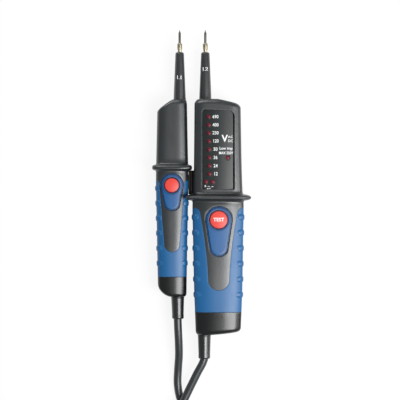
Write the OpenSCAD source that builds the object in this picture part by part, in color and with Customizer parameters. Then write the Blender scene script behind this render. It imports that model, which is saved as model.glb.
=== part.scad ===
/* [Layout] */
// Distance between the two needles, centre to centre
needle_spacing = 20.6; // [20:0.1:22]
// Height of needles, sleeves and leads above the bench
axis_z = 13; // [12:0.5:14]
// Clearance between fixed neighbours
fit = 0.1; // [0.05:0.05:0.2]
// Clearance of a running fit, per side
slide_fit = 0.08; // [0.05:0.01:0.1]

/* [Probe tips] */
// Bare length of each needle
needle_len = 10.7; // [8:0.1:14]
// Diameter of each needle
needle_d = 2; // [1.6:0.1:2.4]
// Length of the sharpened point
needle_point = 2.4; // [1:0.2:4]
// Length of needle held inside the adapter
needle_root = 5; // [3:0.5:6]
// Diameter of that held length
needle_root_d = 1.6; // [1.4:0.1:1.8]
// Diameter of the brass adapter
adapter_d = 4; // [3.8:0.1:4.2]
// Length of adapter outside the sleeve
adapter_len = 7.3; // [6:0.1:9]
// Length of the adapter's narrow neck
adapter_neck = 2.4; // [1:0.1:3]
// Diameter of the adapter's neck and of its stem in the sleeve
adapter_neck_d = 3.2; // [3:0.1:3.4]
// Length of the adapter's stem inside the sleeve
adapter_stem = 9; // [6:0.5:12]
// Length of the sleeve outside the housing
sleeve_len = 38.2; // [30:0.2:45]
// Sleeve diameter at its tip end
sleeve_tip_d = 6.7; // [6:0.1:8]
// Sleeve diameter at the housing
sleeve_root_d = 9.8; // [9:0.1:10.4]
// Diameter of the collar that the shells grip
sleeve_collar_d = 12.4; // [11.6:0.2:12.8]
// Thickness of the collar
sleeve_collar_t = 3; // [2:0.5:4]
// Rounding of the sleeve's front edge
sleeve_round = 0.8; // [0.4:0.1:1.2]
// Diameter of the contact rod behind the adapter
contact_d = 1.8; // [1.6:0.1:1.9]
// Width of the contact's solder tab
contact_tab_w = 3; // [2:0.5:4]
// Thickness of the contact's solder tab
contact_tab_t = 1; // [0.6:0.1:1.4]

/* [Main handle] */
// Length of the housing with the lamps
main_len = 188.6; // [182:0.2:195]
// Greatest reach to the left of the needle
main_left = 10.3; // [10:0.1:10.6]
// Greatest reach to the right of the needle
main_right = 30.6; // [29.5:0.1:32]
// Greatest depth from back to front
main_depth = 30; // [29:0.5:32]
// Distance of the finger guard below the top
main_guard_s = 78.6; // [77:0.2:79.4]
// How far the finger guard stands out
main_guard_out = 6.3; // [5:0.1:6.4]
// Thickness of the guard at its root
main_guard_root = 6.6; // [5:0.2:7]
// Distance that the guard's left end stands out beside the probe handle
main_guard_lap = 0.8; // [0.4:0.1:1]
// Clearance between that end and the probe handle's front
main_guard_gap = 1.2; // [0.8:0.1:1.6]
// Length of the tail cap
main_cap_len = 18.6; // [16:0.2:22]
// How much shorter the right side is at the tail
main_tail_slant = 4; // [2:0.2:5]
// How much lower the right side starts at the top
main_top_slant = 3.6; // [2:0.2:4]

/* [Probe handle] */
// Length of the second housing
probe_len = 158.2; // [154:0.2:164]
// Greatest reach to the left of the needle
probe_left = 19; // [18:0.1:20]
// Greatest reach to the right of the needle
probe_right = 7; // [6.6:0.1:7]
// Greatest depth from back to front
probe_depth = 24; // [23.5:0.5:24]
// Distance of the finger guard below the top
probe_guard_s = 54.6; // [52:0.2:54.8]
// How far the finger guard stands out
probe_guard_out = 3.1; // [2:0.1:3.4]
// Thickness of the guard at its root
probe_guard_root = 5.2; // [4:0.2:5.4]
// Length of the tail cap
probe_cap_len = 16.2; // [14:0.2:20]
// How much shorter the left side is at the tail
probe_tail_slant = 5.2; // [4:0.2:7]
// How much lower the left side starts at the top
probe_top_slant = 6.2; // [5:0.2:8]

/* [Shells] */
// Wall of the shells
wall = 2; // [1.8:0.1:2.2]
// Rounding of the shells' ends
end_round = 3; // [2:0.2:3.4]
// Width of the rounding along the front edges
face_round_x = 9; // [7:0.5:10]
// Height of the rounding along the front edges
face_round_z = 6; // [5:0.5:7]
// Rounding along the back edges
back_round = 4; // [3:0.5:5]
// Share of the width that stays level at a slanted top
top_level_share = 0.54; // [0.4:0.01:0.6]
// Share of the width that stays level at the probe's tail
tail_level_share = 0.73; // [0.6:0.01:0.8]
// Thickness of the guards' rims
guard_rim = 1.8; // [1.2:0.1:2.4]
// Length of shell inside the main tail cap
main_spigot = 8; // [6:0.5:9]
// Length of shell inside the probe's tail cap
probe_spigot = 4; // [3:0.5:5]

/* [Grips] */
// Thickness of the soft grip
grip_t = 1.6; // [1.4:0.1:1.8]
// Start of the main grip below the top
main_grip_s = 86.4; // [84:0.2:87]
// Start of the probe grip below the top
probe_grip_s = 65; // [63:0.5:66]
// Diameter of the grip bumps
bump_d = 4.4; // [3:0.2:5]
// How far the bumps stand out
bump_out = 0.6; // [0.3:0.1:0.8]
// Depth of the bumps' centres below the front
bump_deep = 7; // [6:0.2:9]
// Pitch of the bumps on the main grip
main_bump_pitch = 12.5; // [10:0.1:13]
// Pitch of the bumps on the probe grip
probe_bump_pitch = 12; // [10:0.1:12.4]
// Half width of the main tongue at its top
main_tongue_w = 15.7; // [14:0.1:16]
// Half width of the main tongue at its round end
main_tongue_end_w = 8.9; // [8:0.1:10]
// End of the main tongue, as a share of the grip's length
main_tongue_share = 0.792; // [0.76:0.001:0.84]
// Bow of the main tongue's sides: 1 is straight
main_tongue_bow = 1.8; // [1:0.1:2.4]
// Half width of the probe tongue at its top
probe_tongue_w = 10.4; // [9.6:0.1:10.6]
// Half width of the probe tongue at its round end
probe_tongue_end_w = 6.2; // [5.6:0.1:7]
// End of the probe's tongue, as a share of the grip's length
probe_tongue_share = 0.743; // [0.7:0.001:0.8]
// Bow of the probe tongue's sides: 1 is straight
probe_tongue_bow = 1; // [1:0.1:1.6]

/* [Buttons] */
// Diameter of the test button
test_button_d = 14.6; // [13:0.1:15]
// Place of the test button right of the needle
test_button_x = 10.6; // [10:0.1:11]
// Place of the test button below the top
test_button_s = 96.3; // [95.5:0.1:97]
// Diameter of the probe's button
probe_button_d = 12; // [11:0.1:12.4]
// Place of the probe's button left of the needle
probe_button_x = 6.1; // [5.8:0.1:6.4]
// Place of the probe's button below the top
probe_button_s = 68.8; // [68.4:0.1:70]
// Travel of both buttons
button_travel = 1.5; // [1:0.1:1.6]
// How far both buttons stand out of their surrounds
button_out = 1.8; // [1.7:0.1:2.4]
// Crown of the buttons' tops
button_crown = 0.7; // [0.4:0.1:1]
// Width of the lip that keeps a button in
button_lip = 1.1; // [0.8:0.1:1.3]
// Thickness of that lip
button_lip_t = 1.2; // [1:0.1:1.4]
// Diameter of the buttons' stems
button_stem_d = 3; // [2.6:0.1:3.4]
// Thickness of a surround that stands out of the face
surround_out = 0.5; // [0.3:0.1:0.8]
// Depth of a surround's seat in the face
surround_seat = 1.2; // [1:0.1:1.4]
// Width of a surround beside its button
surround_rim = 3.2; // [2.6:0.1:3.2]
// Length from a surround's round top to its round foot, centre to centre
main_surround_len = 22; // [18:0.5:23]
// The same length on the probe
probe_surround_len = 14; // [12:0.5:16]
// Radius of the foot as a share of the top's radius
surround_foot_share = 0.68; // [0.6:0.01:0.8]

/* [Switches] */
// Width of a switch body
switch_w = 8; // [7:0.2:8.2]
// Height of a switch body
switch_h = 3; // [2.6:0.1:3.2]
// Length of stem that is in the switch at rest
switch_grip = 1; // [0.8:0.1:1.1]
// Thickness of a return spring's wire
spring_wire = 0.5; // [0.4:0.05:0.6]
// Diameter of a return spring over its centreline
spring_d = 5; // [4.4:0.2:5.6]
// Turns of a return spring
spring_turns = 2.5; // [2:0.5:3]

/* [Display] */
// Left edge of the display recess, left of the needle
panel_left = 2.7; // [2:0.1:3]
// Right edge of the display recess, right of the needle
panel_right = 23.2; // [22:0.1:24]
// Top edge of the display recess below the housing's top
panel_top = 8.1; // [8:0.1:9]
// How much lower the recess starts at its right side
panel_slant = 1.6; // [0:0.1:2]
// Bottom edge of the display recess
panel_bottom = 72.3; // [71:0.1:73]
// Depth of the display recess
panel_deep = 1.1; // [0.9:0.1:1.3]
// Radius of the recess's upper right corner
panel_round = 3.2; // [2:0.1:4]
// Thickness of the printed panel in the recess
panel_t = 0.4; // [0.3:0.05:0.6]
// Diameter of the lamp holes
lamp_hole_d = 4; // [3.8:0.1:4.2]
// Diameter of a lamp
lamp_d = 3; // [2.8:0.1:3.2]
// Diameter of a lamp's flange
lamp_flange_d = 3.7; // [3.5:0.1:3.8]
// Thickness of a lamp's flange
lamp_flange_t = 1; // [0.8:0.1:1.2]
// Pitch of the voltage lamps
lamp_pitch = 6.5; // [6:0.05:6.6]
// First voltage lamp below the top
lamp_s = 14.3; // [14:0.1:15]
// First voltage lamp right of the needle
lamp_x = 2.7; // [2.4:0.1:3]
// How far the row of lamps leans to the right in all
lamp_lean = 0.7; // [0:0.1:1]
// Polarity lamps below the top
polarity_s = 66.1; // [66:0.1:67]
// Left polarity lamp right of the needle
polarity_x = 0.6; // [0.4:0.1:0.8]
// Distance between the polarity lamps
polarity_pitch = 5.2; // [5:0.1:6]
// Range lamp right of the needle
range_lamp_x = 17.6; // [17:0.1:18]
// Range lamp below the top
range_lamp_s = 46.9; // [45:0.1:49]

/* [Docking] */
// Start of the docking key below the top
dock_s = 58.4; // [58.2:0.2:59]
// Length of the docking key
dock_len = 15.6; // [14:0.2:16]
// Height of the docking key
dock_h = 10; // [8:0.5:11]
// Length of the tongue in the probe's socket
dock_tongue = 3.4; // [3:0.1:3.6]
// Step from the key's edges to its tongue
dock_step = 2; // [1:0.2:2.4]
// Play between the handles' sides and the key
dock_gap = 0.4; // [0.3:0.05:0.5]

/* [Circuit boards] */
// Thickness of the boards
board_t = 1.6; // [1.2:0.1:1.8]
// Depth of the boards' upper faces below the front face
board_deep = 11.5; // [11.4:0.1:11.8]
// Start of the main board below the top
main_board_s = 11.6; // [11.4:0.1:12]
// Length of the main board
main_board_len = 98; // [96:1:99]
// Left edge of the main board, left of the needle
main_board_left = 4.6; // [4:0.1:5]
// Right edge of the main board, right of the needle
main_board_right = 22; // [21.6:0.1:22.4]
// Start of the probe's board below the top
probe_board_s = 18; // [17:0.5:19]
// Length of the probe's board
probe_board_len = 62; // [60:1:64]
// Left edge of the probe's board, left of the needle
probe_board_left = 10.2; // [10.1:0.1:10.3]
// Right edge of the probe's board, right of the needle
probe_board_right = 1.6; // [1.2:0.1:2]
// Diameter of a series resistor
resistor_d = 3.2; // [2.6:0.1:3.6]
// Length of a series resistor
resistor_len = 11; // [9:0.5:13]
// Diameter of the posts under the boards
post_d = 3.6; // [3:0.1:4]

/* [Case screws] */
// Diameter of the case screws
screw_d = 2.6; // [2.2:0.1:2.8]
// Diameter of the screw heads
screw_head_d = 4.6; // [4:0.1:4.8]
// Height of the screw heads
screw_head_h = 1.8; // [1.5:0.1:2.2]
// Depth of the screw heads below the back
screw_deep = 3; // [2:0.2:4]
// Length of thread in the front shell
screw_bite = 7; // [5:0.5:7.5]
// Diameter of the screw bosses
boss_d = 6.2; // [6:0.1:6.4]
// Clearance between the first boss and the main board
boss_gap = 1; // [0.6:0.1:1.4]
// Distance of the probe's first screw below the top
probe_screw_s = 26.9; // [24:0.1:30]
// Distance of the main handle's last screw from its tail cap
main_screw_up = 7.8; // [6:0.2:10]
// Distance of the probe's last screw from its tail cap
probe_screw_up = 12.2; // [10:0.2:14]

/* [Lead] */
// Diameter of the lead
lead_d = 6.4; // [6:0.1:6.6]
// Place of the main lead left of the needle
main_lead_x = 0.8; // [0.6:0.1:1.2]
// Place of the probe lead left of the needle
probe_lead_x = 1.6; // [1.5:0.1:1.8]
// Length of the main strain relief outside the tail
main_relief_len = 19.6; // [16:0.2:24]
// Length of the probe's strain relief outside the tail
probe_relief_len = 18; // [14:0.2:22]
// Strain relief diameter at the tail
relief_root_d = 10.4; // [10:0.1:10.6]
// Strain relief diameter at its free end
relief_end_d = 9.6; // [9.4:0.1:10]
// Diameter of the relief's stem in the tail cap
relief_stem_d = 8.8; // [8.4:0.1:9]
// Depth of the relief's shoulder in the tail cap
relief_seat = 2.4; // [2:0.1:3]
// Length of lead from the tail into the housing
lead_inner = 30; // [26:1:34]
// Length of a lead cradle along the lead
cradle_len = 7; // [5:0.5:9]
// Width of a lead cradle
cradle_w = 6.8; // [6.4:0.1:7]
// Width of a cradle's foot
cradle_foot_w = 3.4; // [3:0.1:3.6]
// Height of a cradle's foot
cradle_foot_h = 2.2; // [2:0.1:3]
// Length of lead that stands out of a cradle inside
cradle_in = 1; // [0.5:0.5:2]
// Depth of a cradle's edges below the lead's centre
cradle_low = 1.5; // [1.2:0.1:2]

/* [Hidden] */
over = 1;
$fn = 48;

// Everything that comes in two sizes is a pair: the main handle first, then the probe handle
MAIN = 0;
PROBE = 1;
len_of = [main_len, probe_len];
left_of = [main_left, probe_left];
right_of = [main_right, probe_right];
depth_of = [main_depth, probe_depth];
guard_s_of = [main_guard_s, probe_guard_s];
guard_out_of = [main_guard_out, probe_guard_out];
guard_root_of = [main_guard_root, probe_guard_root];
cap_s_of = [main_len - main_cap_len, probe_len - probe_cap_len];
spigot_of = [main_spigot, probe_spigot];
grip_s_of = [main_grip_s, probe_grip_s];
bump_pitch_of = [main_bump_pitch, probe_bump_pitch];
tongue_w_of = [main_tongue_w, probe_tongue_w];
tongue_end_w_of = [main_tongue_end_w, probe_tongue_end_w];
tongue_share_of = [main_tongue_share, probe_tongue_share];
tongue_end_s_of = [for (h = [MAIN, PROBE]) grip_s_of[h] + tongue_share_of[h] * (cap_s_of[h] - grip_s_of[h])];
tongue_bow_of = [main_tongue_bow, probe_tongue_bow];
button_d_of = [test_button_d, probe_button_d];
button_x_of = [test_button_x, -probe_button_x];
button_s_of = [test_button_s, probe_button_s];
surround_len_of = [main_surround_len, probe_surround_len];
board_s_of = [main_board_s, probe_board_s];
board_len_of = [main_board_len, probe_board_len];
board_left_of = [main_board_left, probe_board_left];
board_right_of = [main_board_right, probe_board_right];
lead_x_of = [-main_lead_x, -probe_lead_x];
relief_len_of = [main_relief_len, probe_relief_len];

// Outlines: [share of the handle's length, share of its reach or depth]
main_left_shares = [
    [0, 0.84], [0.25, 0.88], [0.4, 0.92], [0.45, 1], [0.6, 0.95], [0.8, 0.87], [1, 0.74]
];
main_right_shares = [
    [0, 0.92], [0.25, 0.945], [0.4, 0.975], [0.45, 1], [0.6, 0.985], [0.8, 0.965], [1, 0.92]
];
main_front_shares = [[0, 0.93], [0.39, 0.93], [0.45, 1], [0.7, 1], [1, 0.9]];
probe_left_shares = [[0, 0.93], [0.2, 0.97], [0.42, 1], [0.6, 0.97], [0.8, 0.94], [1, 0.91]];
probe_right_shares = [[0, 0.83], [0.2, 0.91], [0.42, 0.99], [0.6, 0.92], [0.8, 0.84], [1, 0.78]];
probe_front_shares = [[0, 0.92], [0.3, 0.92], [0.38, 1], [0.7, 1], [1, 0.9]];

// Both handles hang from one line, square to the needles
total_len = needle_len + adapter_len + sleeve_len + main_len + main_relief_len;
top_y = total_len / 2 - needle_len - adapter_len - sleeve_len;
main_guard_right = lookup(main_guard_s / main_len, main_right_shares) * main_right + main_guard_out;
probe_guard_left = lookup(probe_guard_s / probe_len, probe_left_shares) * probe_left + probe_guard_out;
total_w = probe_guard_left + needle_spacing + main_guard_right;
probe_x = probe_guard_left - total_w / 2;
main_x = probe_x + needle_spacing;
x_of = [main_x, probe_x];

left_shares_of = [main_left_shares, probe_left_shares];
right_shares_of = [main_right_shares, probe_right_shares];
front_shares_of = [main_front_shares, probe_front_shares];

// Reach and front face of handle h at the distance s below its top
function left_at(h, s) = left_of[h] * lookup(s / len_of[h], left_shares_of[h]);
function right_at(h, s) = right_of[h] * lookup(s / len_of[h], right_shares_of[h]);
function front_at(h, s) = depth_of[h] * lookup(s / len_of[h], front_shares_of[h]);

sleeve_seat_s = end_round;
stem_end_s = adapter_stem - sleeve_len;
relief_edge = (relief_end_d - lead_d) / 4;
lower_in = grip_t + fit;

// Slanted ends: how much lower the left and the right side lie, and the share of the width that stays level
top_slants_of = [[0, main_top_slant, top_level_share], [probe_top_slant, 0, top_level_share]];
tail_slants_of = [[0, -main_tail_slant, 0], [-probe_tail_slant, 0, tail_level_share]];
level = [0, 0, 0];
function slant_at(slant, u) =
    let (share = slant[2])
        slant[0] * max(0, 1 - u / (1 - share)) + slant[1] * max(0, (u - share) / (1 - share));
function deepest(slant) = max(abs(slant[0]), abs(slant[1]));

// How finely corners, flats, ends, arcs and sides are divided
corner_steps = 6;
flat_steps = 5;
end_steps = 3;
arc_steps = 24;
side_steps = 10;

// A quarter of an ellipse about [cx, cz], from the angle a0
function quarter(cx, cz, rx, rz, a0) = [
    for (i = [0:corner_steps])
        let (a = a0 + 90 * i / corner_steps)
            [cx + rx * cos(a), cz + rz * sin(a)]
];
// Points between two others
function between(p, q) = [for (i = [1:flat_steps - 1]) p + (q - p) * i / flat_steps];

// One section through handle h at the distance s below its top
function section(h, s, inset, slant = level) =
    let (
        a = inset - left_at(h, s),
        b = right_at(h, s) - inset,
        c = max(inset, 0),
        d = front_at(h, s) - inset,
        rx = face_round_x - min(inset, face_round_x / 2),
        rz = face_round_z - min(inset, face_round_z / 2),
        rb = back_round - min(c, back_round / 2),
        flat = concat(
            quarter(b - rb, c + rb, rb, rb, -90),
            quarter(b - rx, d - rz, rx, rz, 0),
            between([b - rx, d], [a + rx, d]),
            quarter(a + rx, d - rz, rx, rz, 90),
            quarter(a + rb, c + rb, rb, rb, 180),
            between([a + rb, c], [b - rb, c])
        )
    )
    [for (p = flat) [p[0], -s - slant_at(slant, (p[0] - a) / (b - a)), p[1]]];

// A closed skin over rings of points, the first ring at the top; its end faces are strips from point q on
module skin(rings, q = 1) {
    n = len(rings[0]);
    points = [for (r = rings) each r];
    sides = [
        for (k = [0:len(rings) - 2])
            for (i = [0:n - 1])
                let (j = (i + 1) % n, p = k * n)
                    each [[p + i, p + n + i, p + j], [p + j, p + n + i, p + n + j]]
    ];
    m = (len(rings) - 1) * n;
    first = [
        for (j = [0:n / 2 - 2])
            let (a = (q - 1 - j + n) % n, b = (q - 2 - j + n) % n, c = q + j)
                each [[b, a, c], [b, c, c + 1]]
    ];
    last = [for (f = first) [m + f[0], m + f[2], m + f[1]]];
    polyhedron(points = points, faces = concat(first, sides, last));
}

// Places along a handle where its outline changes, between s0 and s1
function stops(h, s0, s1) = [
    for (e = left_shares_of[h])
        let (s = e[0] * len_of[h])
            if (s > s0 + over && s < s1 - over) s
];

// Rings that round the top or the tail of handle h over the radius r, from an inset
function top_rings(h, inset, r) = [
    for (i = [0:end_steps])
        let (a = 90 * i / end_steps)
            section(h, inset + r * (1 - cos(a)), inset + r * (1 - sin(a)), top_slants_of[h])
];
function tail_rings(h, inset, r, end_s) = [
    for (i = [end_steps:-1:0])
        let (a = 90 * i / end_steps)
            section(h, end_s - r * (1 - cos(a)), inset + r * (1 - sin(a)), tail_slants_of[h])
];
function plain_rings(h, s0, s1, inset) =
    [for (s = concat([s0], stops(h, s0, s1), [s1])) section(h, s, inset)];
module body_skin(rings) {
    skin(rings, corner_steps + 1);
}

module at_handle(h) {
    translate([x_of[h], top_y, 0]) children();
}
module along_y() {
    rotate([-90, 0, 0]) children();
}

// Outside of both shells together: end, waist, guard, and the core under grip and cap
module shell_body(h) {
    g = guard_s_of[h];
    root = guard_root_of[h] / 2;
    upper = deepest(top_slants_of[h]) + end_round;
    body_skin(concat(
        top_rings(h, 0, end_round),
        plain_rings(h, upper + end_round, g - root, 0),
        [section(h, g - guard_rim / 2, -guard_out_of[h])],
        [section(h, g + guard_rim / 2, -guard_out_of[h])],
        plain_rings(h, g + root, grip_s_of[h], 0),
        plain_rings(h, grip_s_of[h], cap_s_of[h] + spigot_of[h], lower_in)
    ));
}
module shell_cavity(h) {
    upper = deepest(top_slants_of[h]) + end_round;
    turn = grip_s_of[h] - wall;
    body_skin(concat(
        [section(h, sleeve_seat_s, wall + end_round / 2, top_slants_of[h])],
        plain_rings(h, upper + end_round, turn, wall),
        plain_rings(h, grip_s_of[h], cap_s_of[h] + spigot_of[h] + over, lower_in + wall)
    ));
}

// Points on an arc about c, from the angle a0 to a1
function arc(c, r, a0, a1) = [
    for (i = [0:arc_steps])
        let (a = a0 + (a1 - a0) * i / arc_steps)
            c + r * [cos(a), sin(a)]
];

// Front view of the black tongue between the sides of the grip, grown by an extra width
module tongue_outline(h, grow) {
    end_w = tongue_end_w_of[h];
    s0 = grip_s_of[h];
    s1 = tongue_end_s_of[h] - end_w;
    side = [
        for (i = [0:side_steps - 1])
            let (t = i / side_steps, w = (tongue_w_of[h] - end_w) * pow(1 - t, tongue_bow_of[h]))
                [end_w + w + grow, -s0 - (s1 - s0) * t]
    ];
    translate([button_x_of[h], 0])
        polygon(concat(
            [[-tongue_w_of[h] - grow, -s0 + over], [tongue_w_of[h] + grow, -s0 + over]],
            side,
            arc([0, -s1], end_w + grow, 0, -180),
            [for (i = [side_steps - 1:-1:0]) [-side[i][0], side[i][1]]]
        ));
}

// Round top, round foot and the straight tangents between them
module teardrop(r, foot, length) {
    a = asin((r - foot) / length);
    polygon(concat(
        arc([0, 0], r, -a, 180 + a),
        arc([0, -length], foot, 180 + a, 360 - a)
    ));
}
function face_z(h) = front_at(h, button_s_of[h]);
function lip_top(h) = face_z(h) - lower_in - wall - fit;
function surround_r(h) = button_d_of[h] / 2 + surround_rim;
module surround_outline(h, grow) {
    teardrop(surround_r(h) + grow, surround_r(h) * surround_foot_share + grow, surround_len_of[h]);
}
module at_button(h, z) {
    translate([button_x_of[h], -button_s_of[h], z]) children();
}

// Case screws: beside the board, between the board and the lead's end, and above the tail cap
screw_x_shares_of = [[0.75, -0.2, 0.72, 0.5], [-0.72, -0.3, -0.6]];
screw_mid_shares = [0.38, 0.473];
function mid_screw_s(h) =
    let (board_end = board_s_of[h] + board_len_of[h])
        board_end + screw_mid_shares[h] * (len_of[h] - lead_inner - board_end);
screw_s_of = [
    [
        main_board_s - boss_d / 2 - boss_gap, mid_screw_s(MAIN),
        mid_screw_s(MAIN), cap_s_of[MAIN] - main_screw_up
    ],
    [probe_screw_s, mid_screw_s(PROBE), cap_s_of[PROBE] - probe_screw_up]
];
function screw_places(h) = [
    for (i = [0:len(screw_s_of[h]) - 1])
        let (share = screw_x_shares_of[h][i])
            [share * (share > 0 ? right_of[h] : left_of[h]), -screw_s_of[h][i]]
];
// Height above the bench from which bosses and posts grow out of the back wall
function back_z(h, s) = (s > grip_s_of[h] ? lower_in : 0) + wall / 2;
// Posts under the boards, as shares of the board's width and length
post_shares = [[0.14, 0.07], [0.86, 0.12], [0.14, 0.93], [0.86, 0.93]];
function post_places(h) = [
    for (p = post_shares)
        [
            p[0] * (board_left_of[h] + board_right_of[h]) - board_left_of[h],
            -board_s_of[h] - p[1] * board_len_of[h]
        ]
];
function board_top(h) = face_z(h) - board_deep;
function board_bottom(h) = board_top(h) - board_t;

// Places of the display and its lamps: eight voltages, plus, minus and the range lamp
panel_z = front_at(MAIN, panel_bottom / 2);
panel_floor = panel_z - panel_deep;
volts = [690, 400, 230, 120, 50, 36, 24, 12];
lamp_places = concat(
    [for (i = [0:len(volts) - 1]) [lamp_x + lamp_lean * i / (len(volts) - 1), -lamp_s - lamp_pitch * i]],
    [[polarity_x, -polarity_s], [polarity_x + polarity_pitch, -polarity_s], [range_lamp_x, -range_lamp_s]]
);
// Sides of the docking key
dock_mid_s = dock_s + dock_len / 2;
dock_right = main_x - left_at(MAIN, dock_mid_s) + wall + fit;
dock_left = probe_x + right_at(PROBE, dock_mid_s) + dock_gap;

// Everything that goes through both shells: the sleeve's collar and the docking key
module shell_cuts(h) {
    translate([0, over, axis_z])
        rotate([90, 0, 0]) cylinder(h = over + sleeve_seat_s + sleeve_collar_t, d = sleeve_root_d + 2 * fit);
    translate([0, -sleeve_seat_s + fit, axis_z])
        rotate([90, 0, 0]) cylinder(h = sleeve_collar_t + 2 * fit, d = sleeve_collar_d + 2 * fit);
    if (h == MAIN) translate([-main_x - fit, 0, 0]) dock_plug(fit);
    if (h == PROBE) translate([-probe_x, 0, 0]) dock_pin(dock_gap);
}
module front_shell(h) {
    difference() {
        intersection() {
            union() {
                difference() {
                    union() {
                        shell_body(h);
                        intersection() {
                            body_skin(plain_rings(h, grip_s_of[h], cap_s_of[h], 0));
                            translate([0, 0, axis_z])
                                linear_extrude(depth_of[h]) tongue_outline(h, 0);
                        }
                    }
                    shell_cavity(h);
                }
                for (p = screw_places(h))
                    translate([p[0], p[1], axis_z])
                        cylinder(h = front_at(h, -p[1]) - axis_z - lower_in - wall / 2, d = boss_d);
            }
            translate([-total_w, -total_len, axis_z]) cube([2 * total_w, 2 * total_len, total_w]);
        }
        shell_cuts(h);
        for (p = screw_places(h))
            translate([p[0], p[1], axis_z - over]) cylinder(h = screw_bite + 2 * over, d = screw_d + fit);
        at_button(h, 0) cylinder(h = total_w, d = button_d_of[h] + 4 * fit);
        at_button(h, 0) cylinder(h = lip_top(h) + fit, d = button_d_of[h] + 2 * button_lip + 4 * fit);
        at_button(h, face_z(h) - surround_seat) linear_extrude(total_w) surround_outline(h, fit);
    }
}
module rear_shell(h) {
    difference() {
        union() {
            difference() {
                intersection() {
                    shell_body(h);
                    translate([-total_w, -total_len, 0]) cube([2 * total_w, 2 * total_len, axis_z]);
                }
                shell_cavity(h);
            }
            for (p = screw_places(h))
                translate([p[0], p[1], back_z(h, -p[1])]) cylinder(h = axis_z - back_z(h, -p[1]), d = boss_d);
            for (p = post_places(h))
                translate([p[0], p[1], back_z(h, -p[1])])
                    cylinder(h = board_bottom(h) - back_z(h, -p[1]), d = post_d);
        }
        shell_cuts(h);
        for (p = screw_places(h)) {
            translate([p[0], p[1], -over]) cylinder(h = axis_z + 2 * over, d = screw_d + 4 * fit);
            translate([p[0], p[1], -over])
                cylinder(h = screw_deep + screw_head_h + over, d = screw_head_d + 4 * fit);
        }
    }
}

// The main guard reaches over the probe handle, and is cut away where that handle lies
module guard_relief() {
    translate([-main_left - main_guard_lap - total_w, -main_guard_s - main_guard_root, -over])
        cube([total_w, 2 * main_guard_root, probe_depth + main_guard_gap + over]);
}

module main_front_shell() {
    color("#2f3436")
        difference() {
            at_handle(MAIN) front_shell(MAIN);
            at_handle(MAIN) {
                guard_relief();
                translate([0, 0, panel_floor]) linear_extrude(total_w) panel_outline(0);
                for (p = lamp_places) translate([p[0], p[1], 0]) cylinder(h = total_w, d = lamp_hole_d);
            }
        }
}
module main_rear_shell() {
    color("#2b2f31")
        difference() {
            at_handle(MAIN) rear_shell(MAIN);
            at_handle(MAIN) guard_relief();
        }
}
module probe_front_shell() {
    color("#2f3436") at_handle(PROBE) front_shell(PROBE);
}
module probe_rear_shell() {
    color("#2b2f31") at_handle(PROBE) rear_shell(PROBE);
}

// Display: the recess, the printed panel and the lamps
module panel_outline(inset) {
    difference() {
        polygon([
            [inset - panel_left, -panel_bottom + inset], [panel_right - inset, -panel_bottom + inset],
            [panel_right - inset, -panel_top - panel_slant - inset], [inset - panel_left, -panel_top - inset]
        ]);
        translate([panel_right - panel_round, -panel_top - panel_slant - panel_round])
            difference() {
                square(panel_round + over);
                circle(panel_round - inset);
            }
    }
}
module display_panel() {
    color("#1d2022")
        at_handle(MAIN)
            translate([0, 0, panel_floor])
                linear_extrude(panel_t)
                    difference() {
                        panel_outline(fit);
                        for (p = lamp_places) translate([p[0], p[1]]) circle(d = lamp_hole_d);
                    }
}
module lamp(i) {
    base = board_top(MAIN);
    tip = panel_floor + panel_t - base;
    color("#b02a4c")
        at_handle(MAIN)
            translate([lamp_places[i][0], lamp_places[i][1], base]) {
                cylinder(h = lamp_flange_t, d = lamp_flange_d);
                cylinder(h = tip - lamp_d / 2, d = lamp_d);
                translate([0, 0, tip - lamp_d / 2])
                    intersection() {
                        sphere(d = lamp_d);
                        cylinder(h = lamp_d, d = lamp_d);
                    }
            }
}

// Tail caps, with the pocket and the bore of the strain relief
function cap_floor_s(h) = cap_s_of[h] + spigot_of[h] + 2 * fit;
module tail_cap(h) {
    c = cap_s_of[h] + fit;
    end = len_of[h];
    slant = deepest(tail_slants_of[h]);
    color("#1c1f21")
        at_handle(h)
            difference() {
                body_skin(concat(
                    plain_rings(h, c, end - slant - end_round - over, 0),
                    tail_rings(h, 0, end_round, end)
                ));
                body_skin(plain_rings(h, c - over, cap_floor_s(h), grip_t));
                translate([lead_x_of[h], -end + relief_seat, axis_z])
                    rotate([90, 0, 0]) cylinder(h = relief_seat + over, d = relief_root_d + 2 * fit);
                translate([lead_x_of[h], -cap_floor_s(h) + over, axis_z])
                    rotate([90, 0, 0]) cylinder(h = end - cap_floor_s(h), d = relief_stem_d + 2 * fit);
            }
}
module main_tail_cap() {
    tail_cap(MAIN);
}
module probe_tail_cap() {
    tail_cap(PROBE);
}

// Soft grips, open at the front for the tongue, with rows of bumps at both sides
module grip(h) {
    s0 = grip_s_of[h] + fit;
    s1 = cap_s_of[h] - fit;
    first = s0 + bump_pitch_of[h] / 2;
    ball = (bump_d * bump_d / 4 + bump_out * bump_out) / (2 * bump_out);
    color("#3f6fb4")
        at_handle(h)
            union() {
                difference() {
                    body_skin(plain_rings(h, s0, s1, 0));
                    body_skin(plain_rings(h, s0 - over, s1 + over, grip_t));
                    translate([0, 0, axis_z]) linear_extrude(total_w) tongue_outline(h, fit);
                    if (h == PROBE) translate([-probe_x, 0, 0]) dock_pin(dock_gap);
                }
                for (i = [0:floor((s1 - s0) / bump_pitch_of[h]) - 1])
                    for (side = [-1, 1])
                        let (
                            s = first + bump_pitch_of[h] * i,
                            reach = side < 0 ? left_at(h, s) : right_at(h, s)
                        )
                            if (h == MAIN || side < 0 || s > dock_s + dock_len + bump_d)
                                translate([side * reach, -s, depth_of[h] - bump_deep])
                                    rotate([0, side * 90, 0]) bump(ball);
            }
}
module bump(ball) {
    intersection() {
        translate([0, 0, bump_out - ball]) sphere(ball);
        translate([0, 0, -bump_out]) cylinder(h = 3 * bump_out, d = 2 * bump_d);
    }
}
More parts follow.
